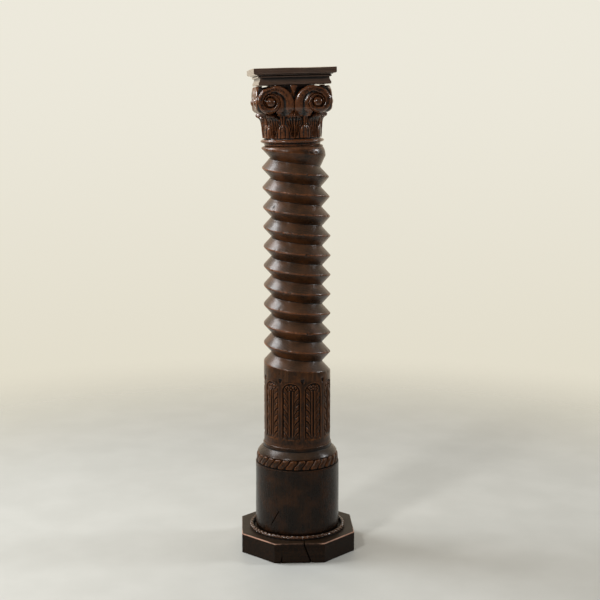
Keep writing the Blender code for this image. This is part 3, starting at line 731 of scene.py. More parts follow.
def make_screw(material):
    """The threaded shaft, from above the panels to the neck under the capital."""
    sizes = {
        "Pitch": THREAD_PITCH,
        "Turns": float(THREAD_TURNS),
        "Crest Radius": PANEL_DRUM_R,
        "Depth": THREAD_DEPTH,
        "Land": THREAD_LAND,
        "Slimming": THREAD_SLIM,
        "Top Wear": THREAD_TOP_WEAR,
        "Top Lift": TOP_LIFT,
        "Top Land": TOP_LAND,
        "Top Cut": TOP_CUT,
        "Run Out": THREAD_RUN_OUT,
        "Neck Radius": NECK_R,
        "Neck Top Radius": NECK_TOP_R,
        "Neck Height": NECK_HEIGHT,
        "Foot Height": THREAD_FOOT,
        "Base Height": SCREW_BASE,
        "Seat Height": SEAT_Z,
        "Hand Cut": 0.0007,
        "Nicks": 0.0022,
        "Columns": 271,
        "Rows": 301,
        "Material": material,
    }
    screw = grow(mesh_object("screw", [], []), screw_tree(), sizes)
    points = point_array(screw.data)
    angle = np.arctan2(points[:, 0], -points[:, 1])
    pressed = 1 - punch_depth(angle, points[:, 2]) / PANEL_DRUM_R
    points[:, :2] *= pressed[:, None]
    moved = warp(points)
    at_seat = points[:, 2] > SEAT_Z - 1e-5
    seat = np.array(seat_frame())
    flat = np.column_stack((points[:, 0], points[:, 1], np.zeros(len(points)), np.ones(len(points))))
    moved[at_seat] = (flat @ seat.T)[at_seat, :3]
    set_points(screw.data, moved)
    tidy(screw, merge=1e-6)

    # A small old hole in one turn's upper flank
    points = point_array(screw.data)
    hole = warp(polar(np.array([HOLE_OUT]), np.array([HOLE_TURN]), np.array([HOLE_UP])).reshape(-1, 3))
    from_hole = np.linalg.norm(points - hole, axis=1)
    sunk = HOLE_DEPTH * np.clip(1.4 - from_hole / HOLE_R, 0, 1)
    set_points(screw.data, points - normal_array(screw.data) * sunk[:, None])
    finish_piece(screw, "trunk", reach=0.0017, sharp=75, rounds=6)
    # Painted shade in and round the small hole.
    darken(screw.data, np.clip(1.7 - from_hole / HOLE_R, 0, 1))
    darken(screw.data, np.clip((THREAD_FOOT - 0.004 - points[:, 2]) / 0.004, 0, 1), dirt_and_shade=0.0)
    return screw


def panel_relief(across, height):
    """Depth below the drum's face at a place in one panel, from its middle line and the drum's foot."""
    half = (math.pi / PANEL_COUNT - PANEL_STRIP / 2) * PANEL_DRUM_R
    side = half - np.abs(across)
    low = height - PANEL_FOOT
    bow = np.hypot(across / half, np.maximum(height - PANEL_SPRING, 0.0) / PANEL_ARCH_RISE)
    high = (1 - bow) * np.where(height > PANEL_SPRING, (half + PANEL_ARCH_RISE) / 2, half)
    inset = np.minimum(np.minimum(side, low), high)

    # Cut line round the panel, then the sunk field
    open_foot = np.minimum(side, high)
    groove = PANEL_SINK * np.clip(open_foot / (PANEL_GROOVE * 0.55), 0, 1)
    field = np.clip((open_foot - PANEL_GROOVE * 0.9) / 0.0028, 0.0, 1.0)
    reach = np.abs(across)

    # Two reeds up the middle
    reed = 1 - np.clip(np.abs(reach - REED_AT) / REED_HALF, 0, 1) ** 2.2
    foot_fade = np.clip((low - 0.004) / 0.006, 0, 1)
    head_fade = np.clip((ROSETTE_AT - 0.004 - height) / 0.004, 0, 1)
    reeds = reed * np.minimum(foot_fade, head_fade)

    # Leaflets that rise outwards from the reeds, each with a finer line in it
    width = half - PANEL_GROOVE - LEAFLET_NEAR
    out = np.clip((reach - LEAFLET_NEAR) / width, 0, 1)
    sweep = LEAFLET_SLOPE * (reach - LEAFLET_NEAR) + 0.0035 * np.sin(math.pi * out)
    count = (low - sweep - 0.006) / LEAFLET_STEP
    part = count - np.floor(count)
    cut = np.exp(-((np.minimum(part, 1 - part)) / 0.075) ** 2)
    fine = np.exp(-((part - 0.54) / 0.055) ** 2) * np.clip((out - 0.12) * 3, 0, 1)
    vein = np.exp(-((part - 0.30) / 0.022) ** 2) * np.clip((0.80 - out) * 3, 0, 1)
    swell = np.clip(1.25 * np.sin(math.pi * np.clip(0.06 + 0.94 * out, 0, 1)) ** 0.6, 0, 1)
    leaflet = swell * (1 - 1.0 * cut - 0.80 * fine - 0.30 * vein)
    leaflet *= 0.82 + 0.18 * np.cos(TAU * (part - 0.25))
    leaflet = np.where(reach > LEAFLET_NEAR - 0.0006, leaflet, 0)

    # Rosette under the arch: a bead in a fan of small lobes
    spread = np.hypot(across, height - ROSETTE_AT)
    turn = np.arctan2(across, height - ROSETTE_AT)
    bead = np.clip(1 - (spread / 0.0036) ** 2, 0, 1) ** 0.5
    lobe = np.abs(np.cos(turn * 3.5)) ** 0.7 * np.clip(1 - ((spread - 0.0088) / 0.0046) ** 2, 0, 1) ** 0.6
    fan = np.where(height > ROSETTE_AT - 0.004, lobe, 0)
    near_fan = (spread < ROSETTE_R + 0.0018) & (height > ROSETTE_AT - 0.005)
    carved = np.maximum(reeds, np.where(near_fan, 0, leaflet))
    carved = np.maximum(carved, np.maximum(bead * 1.05, fan * 0.85))
    lifted = PANEL_SINK * (1 - 0.90 * carved * field)
    fading = np.clip((height - PANEL_FOOT) / 0.022, 0, 1) ** 0.6
    return np.minimum(groove, lifted) * (inset > 0) * fading


def make_panel_drum(material):
    """Upper drum: one panel with half a strip on each side, repeated nine times."""
    half_pitch = math.pi / PANEL_COUNT
    panel_half = half_pitch - PANEL_STRIP / 2
    strips = np.linspace(panel_half + 0.008, half_pitch, 3)
    inner = np.linspace(-panel_half - 0.002, panel_half + 0.002, 57)
    angles = np.concatenate((-strips[::-1], inner, strips))
    top = SCREW_BASE - PANEL_DRUM_FOOT
    levels = np.concatenate((
        [-0.004, 0.0, 0.006, 0.014, 0.021],
        np.linspace(PANEL_FOOT - 0.001, PANEL_SPRING, 112),
        np.linspace(PANEL_SPRING, top, 23)[1:],
    ))
    angle, height = np.meshgrid(angles, levels)
    depth = panel_relief(angle * PANEL_DRUM_R, height)
    depth += punch_depth(angle + PANEL_FIRST_STRIP + half_pitch, height + PANEL_DRUM_FOOT)
    depth[0] += 0.004
    points = polar(PANEL_DRUM_R - depth, angle, height + PANEL_DRUM_FOOT)
    faces = grid_faces(len(levels), len(angles))
    sector = mesh_object("panel_drum", points, faces)
    sizes = {"hand_cut": 0.0004, "cut_size": 0.022, "seed": 3.0}
    drum = repeat(sector, material, PANEL_COUNT, first_turn=PANEL_FIRST_STRIP + half_pitch, **sizes)
    tidy(drum)
    finish_piece(drum, "trunk", reach=0.0007, sharp=75, rounds=6)

    # The strips between the panels keep a darker, dustier stain than the carving
    points = point_array(drum.data)
    turn = np.arctan2(points[:, 0], -points[:, 1]) - PANEL_FIRST_STRIP
    off = np.abs((turn + half_pitch) % (2 * half_pitch) - half_pitch)
    on_strip = np.clip((PANEL_STRIP / 2 - off) / 0.012, 0, 1)
    from_middle = np.abs(points[:, 2] - PANEL_DRUM_FOOT - PANEL_MIDDLE)
    beyond = np.clip((from_middle - PANEL_HALF_HEIGHT) / 0.006, 0, 1)
    darken(drum.data, STRIP_STAIN * np.maximum(on_strip, beyond))
    return drum


def rope_crown(z):
    """Radius of the rope's strands, which lean in towards the top."""
    share = np.clip((z - ROPE_FOOT) / ROPE_HEIGHT, 0, 1)
    return DRUM_R - DRUM_TAPER - ROPE_SINK - ROPE_LEAN_IN * share**2


def drum_radius(angle, z):
    """Radius of the lower drum, its rope bed and the shoulder above."""
    heel = np.clip((z - TRUNK_FOOT) / DRUM_FOOT_RISE, 0, 1)
    radius = DRUM_R - DRUM_FOOT_ROUND * (1 - heel) ** 2
    radius = radius - DRUM_TAPER * np.clip((z - TRUNK_FOOT) / DRUM_HEIGHT, 0, 1)
    bed = np.clip((z - ROPE_FOOT + 0.001) / 0.0016, 0, 1)
    radius = radius * (1 - bed) + (rope_crown(z) - ROPE_CUT) * bed
    wide = DRUM_R - DRUM_TAPER - SHOULDER_LEDGE
    narrow = PANEL_DRUM_R + FILLET_PROUD
    rise = np.clip((z - SHOULDER_FOOT) / (SHOULDER_HEIGHT - FILLET_HEIGHT), 0, 1)
    shoulder = narrow + (wide - narrow) * (1 - rise**SHOULDER_CURVE)
    above = np.clip((PANEL_DRUM_FOOT - z) / FILLET_PROUD, 0, 1)
    shoulder = np.where(rise < 1, shoulder, PANEL_DRUM_R + FILLET_PROUD * np.sqrt(above))
    radius = np.where(z > SHOULDER_FOOT + 0.001, shoulder, radius)
    slow = np.sin(3 * angle + 21 * z) + np.sin(5 * angle - 34 * z + 1.7) + 0.7 * np.sin(11 * angle + 13 * z)
    return radius + 0.00022 * slow * (z < ROPE_FOOT - 0.002)


def crack_depth(angle, z):
    """Depth of the drying crack low in the drum's front left."""
    deepest = np.zeros_like(angle)
    for (a0, z0), (a1, z1) in zip(DRUM_CRACK, DRUM_CRACK[1:]):
        start = np.array((math.radians(a0) * DRUM_R, z0))
        step = np.array((math.radians(a1) * DRUM_R, z1)) - start
        x = angle * DRUM_R - start[0]
        y = z - start[1]
        along = np.clip((x * step[0] + y * step[1]) / (step @ step), 0, 1)
        gap = np.hypot(x - along * step[0], y - along * step[1])
        deepest = np.maximum(deepest, CRACK_DEPTH * np.clip(1 - gap / CRACK_HALF, 0, 1))
    return deepest


def make_lower_drum(material):
    """Lower drum with the rope's bed and the rounded shoulder, turned in one."""
    plain = np.linspace(-math.pi, math.pi, 289)[:-1]
    crack_zone = np.radians(np.arange(-41.0, -26.5, 0.3))
    angles = np.unique(np.concatenate((plain, crack_zone)).round(5))
    levels = np.concatenate((
        TRUNK_FOOT + DRUM_FOOT_RISE * np.linspace(0, 1, 5),
        np.linspace(TRUNK_FOOT + DRUM_FOOT_RISE, 0.092, 5)[1:],
        np.linspace(0.092, 0.151, 36)[1:],
        np.linspace(0.151, ROPE_FOOT - 0.004, 16)[1:],
        ROPE_FOOT + np.array([-0.0025, -0.0015, -0.001, -0.0002, 0.0006, 0.003, 0.010, 0.018, 0.026]),
        SHOULDER_FOOT + np.array([-0.003, -0.0006, 0.0004, 0.001, 0.0012, 0.0020, 0.0032]),
        np.linspace(SHOULDER_FOOT + 0.0046, PANEL_DRUM_FOOT - FILLET_HEIGHT, 18),
        PANEL_DRUM_FOOT - FILLET_HEIGHT * np.linspace(0.85, 0.0, 9),
        [PANEL_DRUM_FOOT + 0.0006],
    ))
    angle, height = np.meshgrid(angles, levels)
    radius = drum_radius(angle, height) - crack_depth(angle, height)
    radius[-1] -= 0.004
    points = polar(radius, angle, height)
    drum = tidy(ringed_object("lower_drum", points, material))
    finish_piece(drum, "trunk", reach=0.0012, sharp=50)
    points = point_array(drum.data)
    angle = np.arctan2(points[:, 0], -points[:, 1])
    # Painted shade low on the drum where it stands in the foot ring, and painted shade in its crack.
    painted_shade = np.clip(1 - (points[:, 2] - TRUNK_FOOT) / 0.016, 0, 1) ** 0.7
    crack = crack_depth(angle, points[:, 2]) / (CRACK_DEPTH / 2)
    darken(drum.data, np.clip(np.maximum(painted_shade, crack), 0, 1))
    return drum


def make_rope(material):
    """Rope band: one rounded strand repeated round the drum."""
    rows = 17
    columns = 13
    along, across = np.meshgrid(np.linspace(0, 1, rows), np.linspace(-1, 1, columns), indexing="ij")
    pitch = TAU / ROPE_STRANDS
    swing = along - 0.5
    lean = ROPE_LEAN * (swing + 0.10 * np.sin(TAU * swing))
    round_end = (1 - np.abs(2 * along - 1) ** 5) ** 0.35
    width = pitch * 0.425 * (0.45 + 0.55 * round_end)
    dome = (1 - np.abs(across) ** 3.0) ** 0.55 * round_end
    height = ROPE_FOOT + 0.0012 + (ROPE_HEIGHT - 0.0026) * along
    radius = rope_crown(height) - ROPE_CUT - 0.0008 + (ROPE_CUT + 0.0008) * dome
    radius = radius - 0.0011 * np.exp(-(((across - 0.35) / 0.16) ** 2)) * dome
    points = polar(radius, lean + across * width, height)
    faces = grid_faces(rows, columns)
    sizes = {"count": ROPE_STRANDS, "first_turn": 0.02, "hand_cut": 0.0008, "cut_size": 0.012, "seed": 8.0}
    rope = repeated("rope_band", points, faces, material, **sizes)
    finish_piece(rope, "trunk", reach=0.0026, sharp=70)
    return rope


# Plinth and foot ring

def make_foot_ring(material):
    """Half-round moulding on the plinth, carved all round with small leaning leaves."""
    inner = RING_OUTER - RING_WIDTH
    middle = RING_OUTER - RING_WIDTH / 2
    wall = RING_TOP - RING_FOOT - RING_WIDTH / 2
    arc = np.linspace(0, math.pi, 11)
    cut = RING_LEAF_CUT
    half = RING_WIDTH / 2 - cut
    section = [(RING_OUTER - RING_FOOT_IN, RING_FOOT)]
    section += [(middle + half * np.cos(a), wall + half * np.sin(a) + RING_FOOT) for a in arc]
    section += [(inner + cut, RING_FOOT), section[0]]
    body = tidy(ringed_object("ring_body", turned_rows(section, RING_SIDES), material), fill=False)
    count = 13
    across = 7
    along, side = np.meshgrid(np.linspace(0, 1, count), np.linspace(-1, 1, across), indexing="ij")
    over = math.radians(172) * np.clip((along - 0.20) / 0.80, 0, 1)
    drop = (wall - 0.0006) * np.clip(1 - along / 0.20, 0, 1)
    round_end = (1 - np.abs(2 * along - 1) ** 4) ** 0.5
    dome = (1 - np.abs(side) ** 3) ** 0.6 * round_end - 0.30 * np.exp(-((side / 0.22) ** 2)) * round_end
    reach = half - 0.0006 + (cut + 0.0004) * dome
    pitch = TAU / RING_LEAVES
    turn = side * pitch * 0.46 * (0.35 + 0.65 * round_end) + pitch * 1.15 * (0.5 - along)
    carved = polar(middle + reach * np.cos(over), turn, RING_FOOT + wall + reach * np.sin(over) - drop)
    faces = grid_faces(count, across)
    sizes = {"count": RING_LEAVES, "hand_cut": 0.0011, "cut_size": 0.016, "seed": 5.0}
    leaves = repeated("ring_leaves", carved, faces, material, **sizes)
    ring = join_pieces("carved_foot_ring", [body, leaves], material)
    finish_piece(ring, "foot_ring", reach=0.0012, sharp=70)
    points = point_array(ring.data)
    away = np.hypot(points[:, 0], points[:, 1])
    # Painted shade on the ring's inner side against the drum and along its foot on the plinth.
    painted_shade = np.maximum((middle - away) / 0.004, 1.5 - (points[:, 2] - RING_FOOT) / 0.004)
    darken(ring.data, np.clip(painted_shade, 0, 1))
    return ring


def plinth_outline(inset, shares):
    """Points along the plinth's outline, drawn in by the inset."""
    half = PLINTH_ACROSS / 2 - inset
    front = PLINTH_FRONT_HALF - inset * math.tan(math.pi / 8)
    back = PLINTH_BACK_HALF - inset * math.tan(math.pi / 8)
    right = [(front, -half), (half, -front), (half, back), (back, half)]
    corners = np.array(right + [(-x, y) for x, y in right[::-1]] + right[:1])
    return np.array([a + (b - a) * share for a, b in zip(corners, corners[1:]) for share in shares])


def jagged_wedge(name, run, front, width, seed):
    """A thin crooked wedge along a crack up the plinth's front face, to be cut out of the board."""
    points = []
    for x, z, share, depth in run:
        jog = 0.0012 * noise.noise(Vector((x * 90, z * 90, seed)))
        points += [(x + jog - width * share, front - 0.004, z), (x + jog + width * share, front - 0.004, z)]
        points += [(x + jog + 0.12 * depth, front + depth * share, z)]
    faces = []
    for i in range(len(run) - 1):
        low = 3 * i
        for a, b in ((0, 1), (1, 2), (2, 0)):
            faces.append((low + a, low + b, low + 3 + b, low + 3 + a))
    faces += [(2, 1, 0), (3 * len(run) - 3, 3 * len(run) - 2, 3 * len(run) - 1)]
    return tidy(mesh_object(name, points, faces))


def plinth_wear_and_shade(points):
    """How worn the plinth is, along its upper edge alone, and where painted shade darkens the walls of its
    cracks.
    """
    x, y, z = points.T
    half = PLINTH_ACROSS / 2
    corner = (half + PLINTH_FRONT_HALF) / math.sqrt(2)
    corner_back = (half + PLINTH_BACK_HALF) / math.sqrt(2)
    slant = np.where(y < 0, corner, corner_back) - (np.abs(x) + np.abs(y)) / math.sqrt(2)
    inset = np.minimum(np.minimum(half - np.abs(x), half - np.abs(y)), slant)
    away = np.maximum(inset - PLINTH_EDGE, 0) + np.maximum(PLINTH_TOP - PLINTH_EDGE - z, 0)
    turn = np.degrees(np.arctan2(x, -y))
    strong = 0.35 + 0.65 * np.clip(1 - np.abs(np.abs(turn) - 48) / 30, 0, 1) ** 0.5
    ridge = np.clip(1 - away / 0.0011, 0, 1) * strong
    # Painted shade on the crack walls cut into the board's front.
    inside = (y > 0.0003 - half) & (y < 0.034 - half) & (z > 0.003) & (z < PLINTH_TOP - 0.0005)
    near_crack = np.abs(x) < PLINTH_FRONT_HALF - 0.006
    return ridge, inside * near_crack * 1.0


def make_plinth(material):
    """Octagonal board with worn edges, cracked in front as it dried."""
    shares = (0.0, 0.012, 0.03, *np.linspace(0.07, 0.93, 22), 0.97, 0.988)
    edge = PLINTH_EDGE
    arc = np.linspace(0, math.pi / 2, 5)
    section = [(edge, 0.0), (0.3 * edge, 0.3 * edge), (0.0, edge)]
    section += [(0.0, z) for z in np.linspace(0.006, PLINTH_TOP - edge - 0.004, 11)]
    section += [(0.0, PLINTH_TOP - edge - 0.0014)]
    section += [(edge * (1 - math.cos(a)), PLINTH_TOP - edge * (1 - math.sin(a))) for a in arc]
    section += [(edge + 0.0014, PLINTH_TOP), (edge + 0.004, PLINTH_TOP), (0.012, PLINTH_TOP)]
    section += [(inset, PLINTH_TOP) for inset in np.linspace(0.018, 0.066, 9)]
    rows = []
    for inset, z in section:
        flat = plinth_outline(inset, shares)
        rows.append(np.column_stack((flat, np.full(len(flat), z))))
    board = tidy(ringed_object("plinth_board", rows, material))
    front = -PLINTH_ACROSS / 2
    lean = LONG_CRACK_TOP - LONG_CRACK_FOOT
    long_run = []
    for s in np.linspace(-0.1, 1.1, 19):
        x = LONG_CRACK_FOOT + (lean + 0.0022) * s + 0.0010 * math.sin(TAU * s)
        long_run.append((x, PLINTH_TOP * s, 1.0, 0.018 + 0.018 * max(s - 0.85, 0) / 0.15))
    short_run = []
    for s in np.linspace(-0.1, 1.0, 12):
        x = SHORT_CRACK_AT - 0.003 + 0.006 * s + 0.0008 * math.sin(5 * s)
        short_run.append((x, SHORT_CRACK_RISE * s, max(1.0 - s**2, 0.10), 0.014))
    for name, run, width in (("long", long_run, LONG_CRACK_HALF), ("short", short_run, SHORT_CRACK_HALF)):
        wedge = jagged_wedge("crack_" + name, run, front, width, len(run))
        cutter = board.modifiers.new(name, "BOOLEAN")
        cutter.operation = "DIFFERENCE"
        cutter.object = wedge
        evaluated = board.evaluated_get(bpy.context.evaluated_depsgraph_get())
        cut_mesh = bpy.data.meshes.new_from_object(evaluated)
        board.modifiers.clear()
        board.data = cut_mesh
        bpy.data.objects.remove(wedge, do_unlink=True)
    board.data.materials.clear()
    board.data.materials.append(material)
    store_wear_and_shade(board.data, *plinth_wear_and_shade(point_array(board.data)))
    finish_piece(board, "plinth", sharp=60)
    return board


# Capital

def bell_radius(z):
    """Radius of the bell behind the leaves."""
    share = np.clip((z - BELL_FOOT_AT) / (LEAF_ROLL_AT - BELL_FOOT_AT), 0, 1)
    return BELL_FOOT_R + (BELL_LIP_R - BELL_FOOT_R) * share**2


def make_bell(material):
    """The turned core of the capital, with the astragal at its foot and its seat at the top."""
    arc = np.linspace(-math.pi / 2, math.pi / 2, 13)
    section = [(0.0840, SEAT_GAP), (CAPITAL_FOOT_R, SEAT_GAP + 0.0012)]
    section += [(CAPITAL_FOOT_R, ASTRAGAL_AT - ASTRAGAL_HALF - 0.0006)]
    swell = ASTRAGAL_R - CAPITAL_FOOT_R
    for a in arc:
        section.append((CAPITAL_FOOT_R + swell * math.cos(a), ASTRAGAL_AT + ASTRAGAL_HALF * math.sin(a)))
    section += [(CAPITAL_FOOT_R - 0.0006, BELL_FOOT_AT - 0.0015)]
    section += [(bell_radius(z), z) for z in np.linspace(BELL_FOOT_AT, LEAF_ROLL_AT + 0.006, 16)]
    section += [(CORE_R + 0.010, 0.1005), (CORE_R + 0.004, 0.1080)]
    section += [(CORE_R, z) for z in np.linspace(0.115, CAPITAL_HEIGHT, 8)]
    bell = tidy(ringed_object("capital_bell", turned_rows(section, BELL_SIDES), material))
    roughen(bell, 0.0005, 0.02, 4)
    return bell


def leaf_points(half_width, columns, rows):
    """Front of one curled leaf: up the bell, out under the roll, over it and back."""
    across = np.linspace(-1, 1, columns)
    along = np.linspace(0, 1, rows)
    a, b = np.meshgrid(across, along)
    rising = np.clip(b / LEAF_ROLL_FROM, 0, 1)
    rolling = np.clip((b - LEAF_ROLL_FROM) / (1 - LEAF_ROLL_FROM), 0, 1)
    under = math.radians(-80)
    over = math.radians(165)
    turn = under + (over - under) * rolling
    start_r = LEAF_ROLL_OUT + LEAF_ROLL_R * math.cos(under)
    start_z = LEAF_ROLL_AT + LEAF_ROLL_R * math.sin(under)
    foot_r = BELL_FOOT_R + LEAF_THICK
    climbing = foot_r + LEAF_FLARE * rising + (start_r - foot_r - LEAF_FLARE) * rising**12
    climbing_z = BELL_FOOT_AT + (start_z - BELL_FOOT_AT) * rising
    radius = np.where(b < LEAF_ROLL_FROM, climbing, LEAF_ROLL_OUT + LEAF_ROLL_R * np.cos(turn))
    z = np.where(b < LEAF_ROLL_FROM, climbing_z, LEAF_ROLL_AT + LEAF_ROLL_R * np.sin(turn))
    wall = bell_radius(z)
    spread = np.interp(b, (0, 0.2, 0.42, 0.56, 0.68, 0.85, 1.0), (0.52, 0.58, 0.84, 1.0, 0.74, 0.52, 0.46))
    scallop = 1 - 0.10 * np.abs(np.sin(3.0 * math.pi * np.clip(b / 0.66, 0, 1))) * (b < 0.66)
    sink = 0.62 * a**2 + 0.24 * a**6
    lifted = wall + (radius - wall) * (1 - sink)
    cuts = np.zeros_like(a)
    for place in LEAF_CUTS:
        flare = place * (0.72 + 0.40 * rising)
        cuts = cuts + np.exp(-((np.abs(a) - flare) / 0.052) ** 2)
    ribs = 0.0009 * np.cos(TAU * np.abs(a) * 3.7)
    depth = 0.0040 * (1 - 0.45 * rolling) * (0.35 + 0.65 * np.clip(b / 0.12, 0, 1))
    middle = 0.0010 * np.exp(-((a / 0.10) ** 2)) * (1 - rolling)
    lifted = lifted - cuts * depth + ribs + middle
    z = z - 0.0075 * a**2 * np.clip((b - 0.45) / 0.3, 0, 1)
    angle = a * half_width * spread * scallop / wall
    return lifted, angle, z


def skirted(lifted, angle, z):
    """A relief's grid with a border that goes down into the bell, so that it can be closed behind."""
    wall = bell_radius(z) - 0.005
    radius = np.pad(lifted, 1, mode="edge")
    deep = np.pad(wall, 1, mode="edge")
    radius[0], radius[-1] = deep[0], deep[-1]
    radius[:, 0], radius[:, -1] = deep[:, 0], deep[:, -1]
    return polar(radius, np.pad(angle, 1, mode="edge"), np.pad(z, 1, mode="edge"))


def make_leaves(material):
    """Eight curled leaves round the bell."""
    columns = 37
    rows = 46
    points = skirted(*leaf_points(LEAF_HALF_WIDTH, columns, rows))
    faces = grid_faces(rows + 2, columns + 2)
    sizes = {"count": LEAF_COUNT, "hand_cut": 0.0016, "cut_size": 0.020, "seed": 2.0}
    return repeated("capital_leaves", points, faces, material, **sizes)


def make_small_leaves(material):
    """Eight low round-headed leaves in the gaps between the tall ones."""
    columns = 21
    rows = 20
    a, b = np.meshgrid(np.linspace(-1, 1, columns), np.linspace(0, 1, rows))
    width = SMALL_LEAF_HALF * np.sqrt(np.clip(1 - np.clip((b - 0.35) / 0.65, 0, 1) ** 2.4, 0.03, 1))
    z = BELL_FOOT_AT + 0.0005 + SMALL_LEAF_RISE * b
    cuts = np.exp(-((np.abs(a) - 0.42) / 0.10) ** 2)
    proud = SMALL_LEAF_PROUD * (1 - 0.55 * a**4) * (1 - 0.30 * b**3) - SMALL_LEAF_CUT * cuts
    lifted = bell_radius(z) + proud
    points = skirted(lifted, a * width / bell_radius(z), z)
    faces = grid_faces(rows + 2, columns + 2)
    sizes = {"first_turn": LEAF_GAP_TURN, "hand_cut": 0.0013, "cut_size": 0.015, "seed": 6.0}
    return repeated("capital_small_leaves", points, faces, material, count=LEAF_COUNT, **sizes)


def make_stalks(material):
    """Grooved stalks that rise between the leaves to the volutes."""
    columns = 13
    rows = 16
    a, b = np.meshgrid(np.linspace(-1, 1, columns), np.linspace(0, 1, rows))
    z = STALK_FOOT + STALK_RISE * b
    width = 0.0045 + 0.0060 * b**1.5
    proud = 0.0042 + 0.0075 * b**2
    lifted = bell_radius(z) + proud * (1 - 0.5 * a**4) - STALK_GROOVE * np.exp(-((a / 0.16) ** 2))
    points = skirted(lifted, a * width / bell_radius(z), z)
    faces = grid_faces(rows + 2, columns + 2)
    sizes = {"first_turn": LEAF_GAP_TURN, "hand_cut": 0.0010, "cut_size": 0.018, "seed": 9.0}
    return repeated("capital_stalks", points, faces, material, count=LEAF_COUNT, **sizes)


def volute_edge(turn):
    """Distance from the eye to the band's outer edge. The turn runs from the top outwards."""
    spiral = VOLUTE_R - VOLUTE_BAND * turn / TAU
    stem = EYE_OUT - STEM_GAP
    climb = np.clip(-turn / (math.pi / 2), 0, 1)
    rising = VOLUTE_R + (stem - VOLUTE_R) * climb**0.8
    foot = (EYE_AT - STEM_FOOT) / np.maximum(-np.cos(turn), 0.3)
    straight = np.minimum(stem / np.maximum(np.abs(np.sin(turn)), 0.3), foot)
    low = np.where(turn < -math.pi / 2, straight, rising)
    return np.where(turn < 0, low, spiral)


def band_depth(x, width, turn):
    """Depth of the volute's surface at a distance from the band's outer edge."""
    climb = np.clip(-turn / (math.pi / 2), 0, 1)
    band = np.minimum(VOLUTE_BAND + STEM_WIDEN * climb, width)
    free = np.clip((VOLUTE_START + TAU - turn) / math.radians(50), 0, 1)
    edge_depth = VOLUTE_GROOVE + (VOLUTE_ROUND - VOLUTE_GROOVE) * free
    t = np.clip(x / np.maximum(band, 1e-6), 0, 1)
    outer = np.clip(1 - t / 0.26, 0, 1) ** 2
    groove_from = 1 - 0.0060 / np.maximum(band, 0.0075)
    inner = np.clip((t - groove_from) / (1 - groove_from), 0, 1) ** 2
    crown = 0.0014 * (2 * t - 1) ** 2
    depth = crown + edge_depth * outer + VOLUTE_GROOVE * inner * (1 - crown / 0.004)
    beyond = 1 - np.exp(-np.maximum(x - band, 0) / 0.0022)
    return np.where(x > band, VOLUTE_GROOVE - 0.0048 * beyond, depth)


def volute_half():
    """One volute with its stem as an open sheet, in the face's frame: u across, w up, h outwards."""
    turns = np.arange(VOLUTE_START, VOLUTE_END + VOLUTE_STEP / 2, VOLUTE_STEP)
    shares = np.concatenate(([0, 0.04, 0.09, 0.16], np.linspace(0.24, 0.76, 9), [0.84, 0.91, 0.96, 1]))
    floor = VOLUTE_R - VOLUTE_BAND * VOLUTE_END / TAU
    turn, share = np.meshgrid(turns, shares, indexing="ij")
    outer = np.maximum(volute_edge(turn), floor)
    inner = np.maximum(VOLUTE_R - VOLUTE_BAND * (turn / TAU + 1), floor)
    width = outer - inner
    reach = outer - share * width
    below = turn < -math.pi / 2
    from_edge = np.where(below, EYE_OUT + reach * np.sin(turn) - STEM_GAP, share * width)
    room = np.where(below, EYE_OUT + inner * np.sin(turn) - STEM_GAP, width)
    depth = band_depth(from_edge, room, turn)
    u = EYE_OUT + reach * np.sin(turn)
    w = EYE_AT + reach * np.cos(turn)
    inside = np.clip(np.minimum(share, 1 - share) / 0.2, 0, 1) * (np.abs(width) > 0.004)
    dots = np.sin(u * 1450) * np.sin(w * 1450 + 0.8 * np.sin(u * 500))
    depth = depth + 0.00080 * np.clip(dots, 0, 1) * inside * (turn < math.radians(390))
    low = np.clip((0.118 - w) / 0.030, 0, 1) * np.clip((0.052 - u) / 0.022, 0, 1)
    depth = depth + STEM_RECESS * low * low * (3 - 2 * low)
    depth = depth + 0.010 * np.clip((0.113 - w) / 0.015, 0, 1) ** 2 * np.clip((u - 0.030) / 0.020, 0, 1)
    h = FACE_AT - depth
    h = np.where((share == 1) & (low == 0), FACE_AT - VOLUTE_GROOVE, h)
    return turns, np.stack((u, w, h), axis=-1), floor


